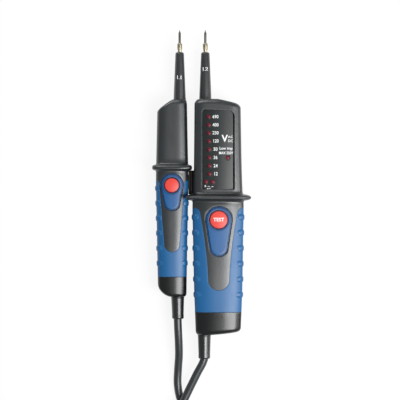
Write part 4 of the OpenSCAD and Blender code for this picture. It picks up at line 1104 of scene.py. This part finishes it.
COIL_CENTRE = (-0.014, -0.230)
COIL_INNER_R, COIL_PITCH, COIL_CLIMB, COIL_DIP = 0.0285, 0.007, 0.007, 0.0012
COIL_START, COIL_ANGLE = 60.0, 1380.0
COIL_LAYER = (COIL_ANGLE - 180.0) / 2
LEAD_STEP = 0.0036
PROBE_ROUTE = [
    (-0.019144, -0.1002, 0.013), (-0.0189, -0.108, 0.0126), (-0.0184, -0.118, 0.011),
    (-0.0182, -0.130, 0.008), (-0.019, -0.142, 0.005), (-0.0193, -0.154, 0.0036),
    (-0.017, -0.166, 0.0032), (-0.0115, -0.177, 0.0032), (-0.004, -0.186, 0.0032),
]
MAIN_ROUTE = [
    (-0.0225, -0.184, 0.0103), (-0.0179, -0.1745, 0.0104), (-0.0136, -0.165, 0.0106),
    (-0.0096, -0.1565, 0.0111), (-0.0059, -0.149, 0.0118), (-0.0027, -0.1425, 0.0124),
    (0.0004, -0.137, 0.0128), (0.002256, -0.1322, 0.013),
]
MAIN_STUB = (0.002256, -0.1292, 0.013)


def coil_points():
    """A coil of two layers: inwards on the bench, up in a half turn, and outwards on top."""
    f = np.arange(0, COIL_ANGLE + 1, 15.0)
    lower, upper = f < COIL_LAYER, f > COIL_LAYER + 180
    over = np.radians(f - COIL_LAYER)
    inwards = COIL_PITCH * (COIL_LAYER - f) / 360
    outwards = COIL_PITCH * (f - COIL_LAYER - 180) / 360
    r = COIL_INNER_R + np.where(lower, inwards, np.where(upper, outwards, -COIL_DIP * np.sin(over)))
    climb = np.where(lower, 0.0, np.where(upper, 1.0, (1 - np.cos(over)) / 2))
    a = np.radians(COIL_START - f)
    z = LEAD_D * MM / 2 + COIL_CLIMB * climb
    return np.stack([COIL_CENTRE[0] + r * np.cos(a), COIL_CENTRE[1] + r * np.sin(a), z], -1)


def through(points, gap):
    """A smooth line through points, a Catmull-Rom cubic between each two, cut into even steps."""
    p = np.asarray(points, float)
    ext = np.vstack([2 * p[0] - p[1], p, 2 * p[-1] - p[-2]])
    u = np.linspace(0, 1, 16, endpoint=False)[None, :, None]
    a, b, c, d = ext[:-3, None], ext[1:-2, None], ext[2:-1, None], ext[3:, None]
    square, cube = 2 * a - 5 * b + 4 * c - d, 3 * b - a - 3 * c + d
    fine = 0.5 * (2 * b + (c - a) * u + square * u ** 2 + cube * u ** 3)
    fine = np.vstack([fine.reshape(-1, 3), p[-1]])
    along = np.concatenate([[0], np.cumsum(np.linalg.norm(np.diff(fine, axis=0), axis=1))])
    even = np.linspace(0, along[-1], int(along[-1] / gap) + 1)
    return np.stack([np.interp(even, along, fine[:, k]) for k in range(3)], -1)


def tube(path, radius, sides=20):
    """Rings round a path, each square to it: the side vector is level and square to the path."""
    way = unit(np.gradient(path, axis=0))
    side = unit(np.cross(way, np.array([0.0, 0.0, 1.0])))
    up = np.cross(side, way)
    a = np.linspace(0, 2 * np.pi, sides, endpoint=False)
    return path[:, None] + radius * (
        side[:, None] * np.cos(a)[None, :, None] + up[:, None] * np.sin(a)[None, :, None]
    )


lead_path = through(np.vstack([PROBE_ROUTE, coil_points(), MAIN_ROUTE, [MAIN_STUB]]), LEAD_STEP)
lead_skin = Skin()
lead_skin.add(capped(tube(lead_path, LEAD_D * MM / 2)) / MM, closed=True)
lead = put("lead", lead_skin, LEAD_BLACK, None)
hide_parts("cord_run_probe", "cord_coil", "cord_run_main")
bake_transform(lead)


# Housings

SHELL_WALL, CORE_WALL, GRIP_WALL, CAP_WALL = 1.4, 1.2, 1.45, 1.4

for h, windows in (
    (MAIN, [(panel_recess(), RECESS), (teardrop(MAIN, SEAT_GROW), SEAT)]),
    (PROBE, [(teardrop(PROBE, SEAT_GROW), SEAT)]),
):
    tail = (h.x + h.lead_x, TOP_Y - h.cap_s - 8, AXIS_Z)
    for part, skin, material, slot, replaced, wall, middle in (
        ("front", front_shell(h, windows), SHELL_BLACK, "shell_black", "front_shell", SHELL_WALL,
         h.middle()),
        ("rear", rear_shell(h), SHELL_BLACK, "shell_black", "rear_shell", SHELL_WALL, h.middle()),
        ("core", core(h), SHELL_BLACK, "shell_black", None, CORE_WALL, h.middle()),
        ("soft_grip", grip(h), GRIP_BLUE, "grip_blue", "grip", GRIP_WALL, h.middle()),
        ("cap", tail_cap(h), CAP_BLACK, "cap_black", "tail_cap", CAP_WALL, tail),
    ):
        nodes = [h.name + "_" + replaced] if replaced else []
        put(h.name + "_" + part, skin, material, h.name, nodes, wall, middle)


# Surrounds and buttons

def surround(handle):
    """Blue surround: rows from the button's hole to the teardrop, each a distance out or in and a
    height on the handle's crown; two fine grooves, one round the button and one in the edge. Its
    shade marks the grooves for painted shade, a darker blue there."""
    h = handle
    a = np.linspace(0, 2 * np.pi, 160, endpoint=False)
    button_at = np.array([h.button_x, h.button_s])
    ray = np.stack([np.cos(a), np.sin(a)], -1)
    rim = ray * reach_at(teardrop(h, 0.0), button_at, a)[:, None]
    inward = inward_of(rim, 0.0)
    inner, level = h.button_r + 0.35, 0.55
    hole = [
        (0, -2.4), (0, level - 0.25), (0.08, level - 0.08), (0.25, level), (0.9, level),
        (1.0, level - 0.2), (1.2, level - 0.2), (1.3, level),
    ]
    edge = [
        (1.12, level - 0.06), (1.0, level - 0.2), (0.95, level - 0.75), (0.55, level - 0.78),
        (0.45, level - 0.5), (0.36, level - 0.35), (0.16, level - 0.35), (0.04, level - 0.45),
        (0.0, level - 0.7), (0.0, -1.3),
    ]
    start, seam = ray * (inner + 1.3), rim + inward * 1.3
    grid = [(ray * (inner + out), up) for out, up in hole]
    grid += [(start + (seam - start) * k, level) for k in (0.15, 0.35, 0.55, 0.75, 0.9, 1.0)]
    grid += [(rim + inward * back, up) for back, up in edge]
    skin = Skin()
    skin.add(np.stack([h.on_front(*(button_at + flat).T, up) for flat, up in grid]), closed=True)
    # Painted shade: full at the hole's rim and in the grooves, most of it on the edge groove's
    # walls
    lines = np.zeros(len(grid))
    shaded_groove_rows, shaded_wall_rows = [1, 5, 6, 16, 17], [15, 18]
    lines[shaded_groove_rows] = 1.0
    lines[shaded_wall_rows] = 0.8
    return skin, np.repeat(lines, len(a))


BUTTON_UP, BUTTON_CROWN, BUTTON_EDGE, BUTTON_TALL = 2.3, 0.7, 0.5, 6.2
BUTTON_SKIRT, BUTTON_LIP, LIP_TALL, STEM_R, STEM_LEN = 2.5, 1.0, 1.2, 1.5, 4.4


def button_top(handle):
    """Height of a button's middle: the face, its surround and the part that stands out."""
    h = handle
    return float(h.front_z(np.array(h.button_x), np.array(h.button_s))) + BUTTON_UP


def button_height(handle, r):
    """The crown of a button: it falls below its middle's height by the square of r / R."""
    return button_top(handle) - BUTTON_CROWN * (r / handle.button_r) ** 2


def button(handle):
    """Button: a turned cap with a crowned top, a rounded edge, a straight skirt, its lip and its
    stem. Its shade paints shade, a darker red, on the edge and on what lies below."""
    h, big, edge = handle, handle.button_r, BUTTON_EDGE
    crown = [(r, button_height(h, r)) for r in np.linspace(0, big - edge, 14)]
    rim = crown[-1][1]
    rows = crown + [
        (big - edge + edge * np.sin(u), rim - edge * (1 - np.cos(u)))
        for u in np.linspace(0, np.pi / 2, 7)[1:]
    ]
    base = button_top(h) - BUTTON_TALL
    out = big + BUTTON_LIP
    lip = base + LIP_TALL
    rows += [(big, rim - BUTTON_SKIRT), (big, lip), (out, lip), (out, base),
             (STEM_R, base), (STEM_R, base - STEM_LEN), (0, base - STEM_LEN)]
    radius, z = np.array(rows).T
    rings = upright(radius, z, h.x + h.button_x, TOP_Y - h.button_s, 72)
    skin = Skin()
    skin.add(rings, closed=True)
    # Painted shade: none on the crown, rising to full at its rim, full over the rounded edge and
    # below
    line = np.clip((radius - big + 0.75) / 0.25, 0, 1)
    line[len(crown):] = 1.0
    return skin, np.repeat(line, rings.shape[1])


# The shade numbers carry the painted shade of the surrounds' grooves and the buttons' edges
for h, name in ((MAIN, "test"), (PROBE, "probe")):
    skin, lines = surround(h)
    put(name + "_surround_ring", skin, SURROUND_BLUE, h.name,
        [name + "_surround"], middle=(h.x + h.button_x, TOP_Y - h.button_s, 0), shade=lines)
    skin, lines = button(h)
    node = name + "_button"
    put(node + "_cap", skin, BUTTON_RED, node, [node], shade=lines)


# Return springs, each in its frame node's box

WIRE = 0.5


def spring(node):
    """A pressed wire spring in the box of the frame's node: a helix of four turns, the first and
    the last of them closed, drawn as a tube. Gives its skin, its low corner and its height."""
    low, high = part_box(node)
    middle = (low + high) / 2 / MM
    radius = (high.x - low.x) / 2 / MM - WIRE / 2
    rise = (high.z - low.z) / MM - WIRE
    turn = np.linspace(0, 4, 161)
    closed = WIRE * 1.1
    climb = smooth([[0, 0], [1, closed], [3, rise - closed], [4, rise]], turn)
    z = low.z / MM + WIRE / 2 + climb
    around = 2 * np.pi * turn
    line = np.stack([middle.x + radius * np.cos(around), middle.y + radius * np.sin(around), z], -1)
    skin = Skin()
    skin.add(capped(tube(line, WIRE / 2, 10)), closed=True)
    return skin, low, (high.z - low.z) / MM


for h, name in ((MAIN, "test"), (PROBE, "probe")):
    skin, low, tall = spring(name + "_spring")
    coil = put(name + "_coil", skin, SPRING_STEEL, h.name, [name + "_spring"])
    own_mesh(coil)


# Tips, strain reliefs

SLEEVE = rounded_steps([
    (73.0, 0.0), (73.0, 4.6), (76.0, 4.9), (76.6, 4.9), (84.0, 4.62), (113.4, 3.42), (114.2, 2.55),
    (114.2, 1.75), (112.6, 1.7), (112.6, 0.0),
], 0.45)
ADAPTER = rounded_steps([
    (110.0, 0.0), (110.0, 1.6), (116.4, 1.6), (116.5, 1.95), (117.4, 2.0), (117.5, 1.85),
    (117.75, 1.85), (117.85, 2.0), (120.7, 2.0), (121.4, 1.6), (121.5, 1.05), (121.1, 1.0),
    (121.1, 0.0),
], 0.12)
NEEDLE = rounded_steps([
    (117.0, 0.0), (117.0, 0.98), (129.8, 0.98), (130.4, 0.52), (131.9, 0.22), (132.2, 0.0),
], 0.2)


def strain_relief(handle):
    """A turned strain relief, tapered, with a rolled rim and the lead's hole; it bows in x by the
    square of the way out."""
    h = handle
    y0, y1 = TOP_Y - h.length, h.relief_end
    profile = rounded_steps([
        (y0 + 2.2, 0.0), (y0 + 2.2, 5.15), (y0, 5.15), (y0 - 0.9, 5.35), (y0 - 1.4, 5.2),
        (y1 + 4.0, 4.7), (y1 + 3.2, 4.72), (y1 + 0.9, 4.8), (y1, 4.1), (y1, 3.3), (y1 + 1.0, 3.25),
        (y1 + 1.0, 0.0),
    ], 0.4)

    def bow(y):
        return h.relief_bow * np.clip((y0 - y) / (y0 - y1), 0, 1) ** 2

    return turned_piece(profile, (h.x + h.lead_x, AXIS_Z), bow)


for h in (MAIN, PROBE):
    needle_line = (h.x, AXIS_Z)
    for part, skin, material, slot, node in (
        ("tip_sleeve", turned_piece(SLEEVE, needle_line), SLEEVE_BLACK, "sleeve_black", "sleeve"),
        ("tip_adapter", turned_piece(ADAPTER, needle_line), BRASS, "brass", "adapter"),
        ("tip_needle", turned_piece(NEEDLE, needle_line, sides=32), NEEDLE_STEEL,
         "needle_steel", "needle"),
    ):
        put(h.name + "_" + part, skin, material, h.name, [h.name + "_" + node])
for h in (MAIN, PROBE):
    put(h.name + "_strain_relief", strain_relief(h), RELIEF_BLACK, h.name,
        [h.name + "_relief"])


# Display: a printed film with a slight crown, and a domed lens in a dark ring for each lamp

FILM_UP, FILM_MIDDLE, FILM_HALF = 0.12, 10.3, 13.0


def film_z(x):
    """The film's height: a little above the panel's face in its middle, and 1 mm lower by the
    square of the way to half its width."""
    return PANEL_Z + FILM_UP - ((x - MAIN.x - FILM_MIDDLE) / FILM_HALF) ** 2


def panel_film():
    """The printed film: rings from its middle to its outline, crowned, with a straight wall and a
    flat floor 1 mm under the panel's face."""
    edge = rounded([(-2.75, 8.1, 2.6), (22.0, 9.4, 4.2), (22.0, 71.9, 0.8), (-2.75, 72.35, 1.4)])
    middle = (edge.min(0) + edge.max(0)) / 2
    a = np.linspace(0, 2 * np.pi, 240, endpoint=False)
    reach = (reach_at(edge, middle, a) + 0.1) * np.linspace(0, 1, 22)[:, None]
    x, y = MAIN.x + middle[0] + reach * np.cos(a), TOP_Y - middle[1] - reach * np.sin(a)
    face = np.stack([x, y, film_z(x)], -1)
    under = face[[-1, 0]] * (1, 1, 0) + (0, 0, PANEL_Z - 1.0)
    skin = Skin()
    skin.add(np.concatenate([face, under]), closed=True)
    return skin


put("panel_film", panel_film(), PANEL_BLACK, "main", ["display_panel"])

LENS_R, LENS_SINK, LENS_DOME, LENS_FOOT, LENS_BOTTOM = 1.95, 0.3, 0.6, 19.6, 18.6
BEZEL = [(1.97, -0.6), (1.97, 0.1), (2.02, 0.17), (2.2, 0.17), (2.4, 0.1), (2.48, 0), (2.48, -0.6)]
bezel_r, bezel_z = np.array(BEZEL).T
quarter = np.radians(np.linspace(0, 90, 11))
bezels = Skin()
for name in (
    "lamp_690", "lamp_400", "lamp_230", "lamp_120", "lamp_50", "lamp_36", "lamp_24", "lamp_12",
    "lamp_plus", "lamp_minus", "lamp_range",
):
    low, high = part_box(name)
    x, y = (low.x + high.x) / 2 / MM, (low.y + high.y) / 2 / MM
    level = film_z(x)
    radius = np.concatenate([LENS_R * np.sin(quarter), [LENS_R, LENS_R, LENS_R, 0.0]])
    feet = [LENS_FOOT, LENS_FOOT, LENS_BOTTOM, LENS_BOTTOM]
    dome = level - LENS_SINK + LENS_DOME * np.cos(quarter)
    lens = upright(radius, np.concatenate([dome, feet]), x, y)
    skin = Skin()
    skin.add(lens, closed=True)
    shares = np.repeat(radius / LENS_R, lens.shape[1])
    put(name + "_lens", skin, LAMP_RED, "main", [name], shade=shares)
    bezels.add(upright(bezel_r, level + bezel_z, x, y), closed=True)

put("lamp_bezels", bezels, BEZEL_BLACK, "main")


# Print

LETTER_HALF = 0.04
PRINT_UP, WORD_UP, MARK_UP = 0.03, 0.02, 0.03


def letters(text, size, x, y, wide, bold):
    """Letters in Blender's own font as a thin solid, in mm about (x, y): points and faces."""
    curve = bpy.data.curves.new("letters", "FONT")
    curve.body = text
    curve.size = size
    curve.align_x = curve.align_y = "CENTER"
    curve.offset = bold
    curve.extrude = LETTER_HALF
    curve.resolution_u = 4
    carrier = bpy.data.objects.new("letters", curve)
    bpy.context.collection.objects.link(carrier)
    bpy.context.view_layer.update()
    evaluated = carrier.evaluated_get(bpy.context.evaluated_depsgraph_get())
    flat = bpy.data.meshes.new_from_object(evaluated)
    points = np.empty(len(flat.vertices) * 3)
    flat.vertices.foreach_get("co", points)
    points = points.reshape(-1, 3) * (wide, 1.0, 1.0) + (x, y, 0.0)
    faces = [list(p.vertices) for p in flat.polygons]
    bpy.data.objects.remove(carrier)
    bpy.data.meshes.remove(flat)
    bpy.data.curves.remove(curve)
    return points, faces


# A pixel's size in mm, and the pixel that lies at the shared frame's zero
PIXEL, ZERO_PX, ZERO_PY = 0.8, 201.5, 194.25


def place(px, py):
    """A pixel of the photograph as a place on the handles, in mm."""
    return (px - ZERO_PX) * PIXEL, (ZERO_PY - py) * PIXEL


# Voltages: text, its middle's pixel and its width; and words: text, pixel, size, width and weight
VOLTS = (
    ("690", 215.4, 117.3, 0.86), ("400", 215.5, 125.4, 0.86), ("230", 215.5, 133.4, 0.86),
    ("120", 215.6, 141.4, 0.86), ("50", 215.4, 149.6, 0.9), ("36", 215.4, 157.9, 0.9),
    ("24", 215.5, 166.1, 0.9), ("12", 215.6, 174.1, 0.9),
)
WORDS = [(text, px, py, 3.7, wide, 0.06) for text, px, py, wide in VOLTS] + [
    ("V", 224.6, 139.1, 7.6, 0.98, 0.2), ("AC", 230.4, 137.3, 2.4, 1.2, 0.03),
    ("DC", 230.4, 141.3, 2.9, 1.0, 0.03), ("Low imp", 225.8, 148.7, 3.1, 0.96, 0.05),
    ("MAX 250V", 225.8, 153.3, 2.9, 0.85, 0.05), ("+", 205.3, 186.4, 3.2, 1.0, 0.08),
    ("~", 208.8, 186.4, 3.2, 1.0, 0.05), ("-", 212.4, 186.4, 3.6, 1.3, 0.08),
    ("AC", 208.6, 189.2, 2.4, 1.05, 0.05),
]
print_skin = Skin()
for text, px, py, size, wide, bold in WORDS:
    points, faces = letters(text, size, *place(px, py), wide, bold)
    points[:, 2] += film_z(points[:, 0]) + PRINT_UP
    print_skin.add_faces(points, faces)
put("panel_legends", print_skin, PRINT_WHITE, "main")

test_x, test_y = MAIN.x + MAIN.button_x, TOP_Y - MAIN.button_s
points, faces = letters("TEST", size=3.9, x=test_x, y=test_y, wide=1.02, bold=0.1)
from_middle = np.hypot(points[:, 0] - test_x, points[:, 1] - test_y)
points[:, 2] += button_height(MAIN, from_middle) + WORD_UP
word_skin = Skin()
word_skin.add_faces(points, faces)
put("test_word", word_skin, PRINT_WHITE, "test_button")

# The marks on the sleeves lie on their cone, between its two ends (y, radius)
(CONE_Y0, CONE_R0), (CONE_Y1, CONE_R1) = (84.0, 4.62), (113.4, 3.42)
for h, text, py in ((PROBE, "L1", 77.3), (MAIN, "L2", 68.9)):
    points, faces = letters(text, size=4.1, x=0.0, y=place(0, py)[1], wide=1.14, bold=0.1)
    up = (points[:, 1] - CONE_Y0) / (CONE_Y1 - CONE_Y0)
    cone = CONE_R0 + (CONE_R1 - CONE_R0) * up + MARK_UP
    out, turn = cone + points[:, 2], points[:, 0] / cone
    wrapped = [h.x + out * np.sin(turn), points[:, 1], AXIS_Z + out * np.cos(turn)]
    mark = Skin()
    mark.add_faces(np.stack(wrapped, -1), faces)
    put(h.name + "_mark", mark, PRINT_WHITE, h.name)


# Docking key: a ribbed block on the main handle's side, and its pin into the probe handle

def block(x, y, z, round_by, ribs=0, deep=0.0):
    """A rounded block: sections (|c|^8 + |n|^8)^(-1/8) round along Y, drawn in at both ends by a
    quarter circle; its top has grooves along Y, each half a sine wave deep."""
    rx, rz = (x[1] - x[0]) / 2, (z[1] - z[0]) / 2
    turn = np.linspace(0, 2 * np.pi, 160, endpoint=False)
    c, n = np.cos(turn), np.sin(turn)
    size = (np.abs(c) ** 8 + np.abs(n) ** 8) ** (-1 / 8)
    px, pz = c * size, n * size
    top = np.clip((pz - 0.93) / 0.05, 0, 1)
    angle = np.radians(np.linspace(0, 90, 7))
    ends, draw = round_by * (1 - np.cos(angle)), round_by * (1 - np.sin(angle))
    rows = np.concatenate([y[1] - ends, np.linspace(y[1], y[0], 12)[1:-1], y[0] + ends])
    rows = np.sort(rows)[::-1, None]
    inset = np.concatenate([draw, np.zeros(10), draw[::-1]])[:, None]
    wave = deep * np.abs(np.sin(np.pi * ribs * (px + 1) / 2)) * top
    return capped(np.stack([
        (x[0] + x[1]) / 2 + px * (rx - inset), rows + 0 * px,
        (z[0] + z[1]) / 2 + pz * (rz - inset) - wave,
    ], -1))


key_skin = Skin()
ribbed = block(x=(-10.45, -4.2), y=(-0.2, 19.1), z=(8.0, 18.0), round_by=0.7, ribs=4, deep=0.7)
pin = block(x=(-14.0, -9.6), y=(4.05, 15.55), z=(10.05, 15.95), round_by=0.5)
key_skin.add(ribbed, closed=True)
key_skin.add(pin, closed=True)
put("docking_block", key_skin, KEY_BLACK, "main", ["dock_key"])


# Finishes of the frame's own pieces that stay

for material, names in (
    (BOARD_GREEN, ("main_board", "probe_board")),
    (RESISTOR_TAN, ("main_resistors", "probe_resistors")),
    (SWITCH_BLACK, ("test_switch", "probe_switch")),
    (SCREW_STEEL, ("main_screws", "probe_screws")),
    (CONTACT_BRASS, ("main_contact", "probe_contact")),
    (CRADLE_GREY, ("main_lead_cradle", "probe_lead_cradle")),
    (LEAD_BLACK, ("main_lead_end", "probe_lead_end")),
):
    for name in names:
        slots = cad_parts[name].data.materials
        if not slots:
            slots.append(material)
        for k in range(len(slots)):
            slots[k] = material


# Floor, world and light

LIT_PLACE = Vector((0.0, 0.0, 0.01))


def lamp(name, place_at, size, watts):
    """A soft white rectangular lamp at place_at, turned to the tester."""
    data = bpy.data.lights.new(name, "AREA")
    data.shape = "RECTANGLE"
    data.size, data.size_y = size
    data.energy = watts
    light = bpy.data.objects.new(name, data)
    light.location = place_at
    light.rotation_euler = (LIT_PLACE - Vector(place_at)).to_track_quat("-Z", "Y").to_euler()
    bpy.context.collection.objects.link(light)


def white_for_view(maker, seen, mirrored):
    """How white the view's ray finds it: seen for the camera, mirrored for gloss and glass."""
    path = maker.node("ShaderNodeLightPath", {}, {})
    names = ("Is Camera Ray", "Is Glossy Ray", "Is Transmission Ray")
    camera_ray, gloss, glass = [Value(maker, path.outputs[name]) for name in names]
    return (camera_ray * seen).larger(gloss.larger(glass) * mirrored)


FLOOR, FLOOR_Z = 3.0, -0.0002
floor_mesh = bpy.data.meshes.new("floor")
corners = [(-1, -1), (1, -1), (1, 1), (-1, 1)]
floor_mesh.from_pydata([(FLOOR * x, FLOOR * y, FLOOR_Z) for x, y in corners], [], [(0, 1, 2, 3)])
floor = bpy.data.objects.new("floor", floor_mesh)
bpy.context.collection.objects.link(floor)
floor_material = bpy.data.materials.new("floor_white")
floor_material.use_nodes = True
paint = Nodes(floor_material.node_tree)
diffuse = paint.node("ShaderNodeBsdfDiffuse", {}, {"Color": (0.9, 0.9, 0.9, 1.0)})
glow = paint.node("ShaderNodeEmission", {}, {"Color": (1.0, 1.0, 1.0, 1.0)})
mixed = paint.node("ShaderNodeMixShader", {}, {
    0: white_for_view(paint, seen=0.88, mirrored=0.88), 1: diffuse.outputs[0], 2: glow.outputs[0]
})
paint.node("ShaderNodeOutputMaterial", {}, {"Surface": mixed.outputs[0]})
floor_mesh.materials.append(floor_material)

world = bpy.data.worlds.new("studio")
world.use_nodes = True
bpy.context.scene.world = world
sky = Nodes(world.node_tree)
SKY_LEAST = 0.22
white = white_for_view(sky, seen=1.0, mirrored=0.3).larger(SKY_LEAST)
background = sky.node("ShaderNodeBackground", {}, {
    "Color": (1.0, 1.0, 1.0, 1.0), "Strength": white
})
sky.node("ShaderNodeOutputWorld", {}, {"Surface": background.outputs[0]})

lamp("soft_right", place_at=(0.43, -0.25, 0.93), size=(0.4, 0.6), watts=10.2)
lamp("low_right", place_at=(0.88, -0.1, 0.62), size=(0.34, 0.6), watts=3.5)
lamp("soft_top", place_at=(-0.35, 0.85, 0.5), size=(0.7, 0.3), watts=4.0)

bpy.context.scene.view_settings.view_transform = "Standard"
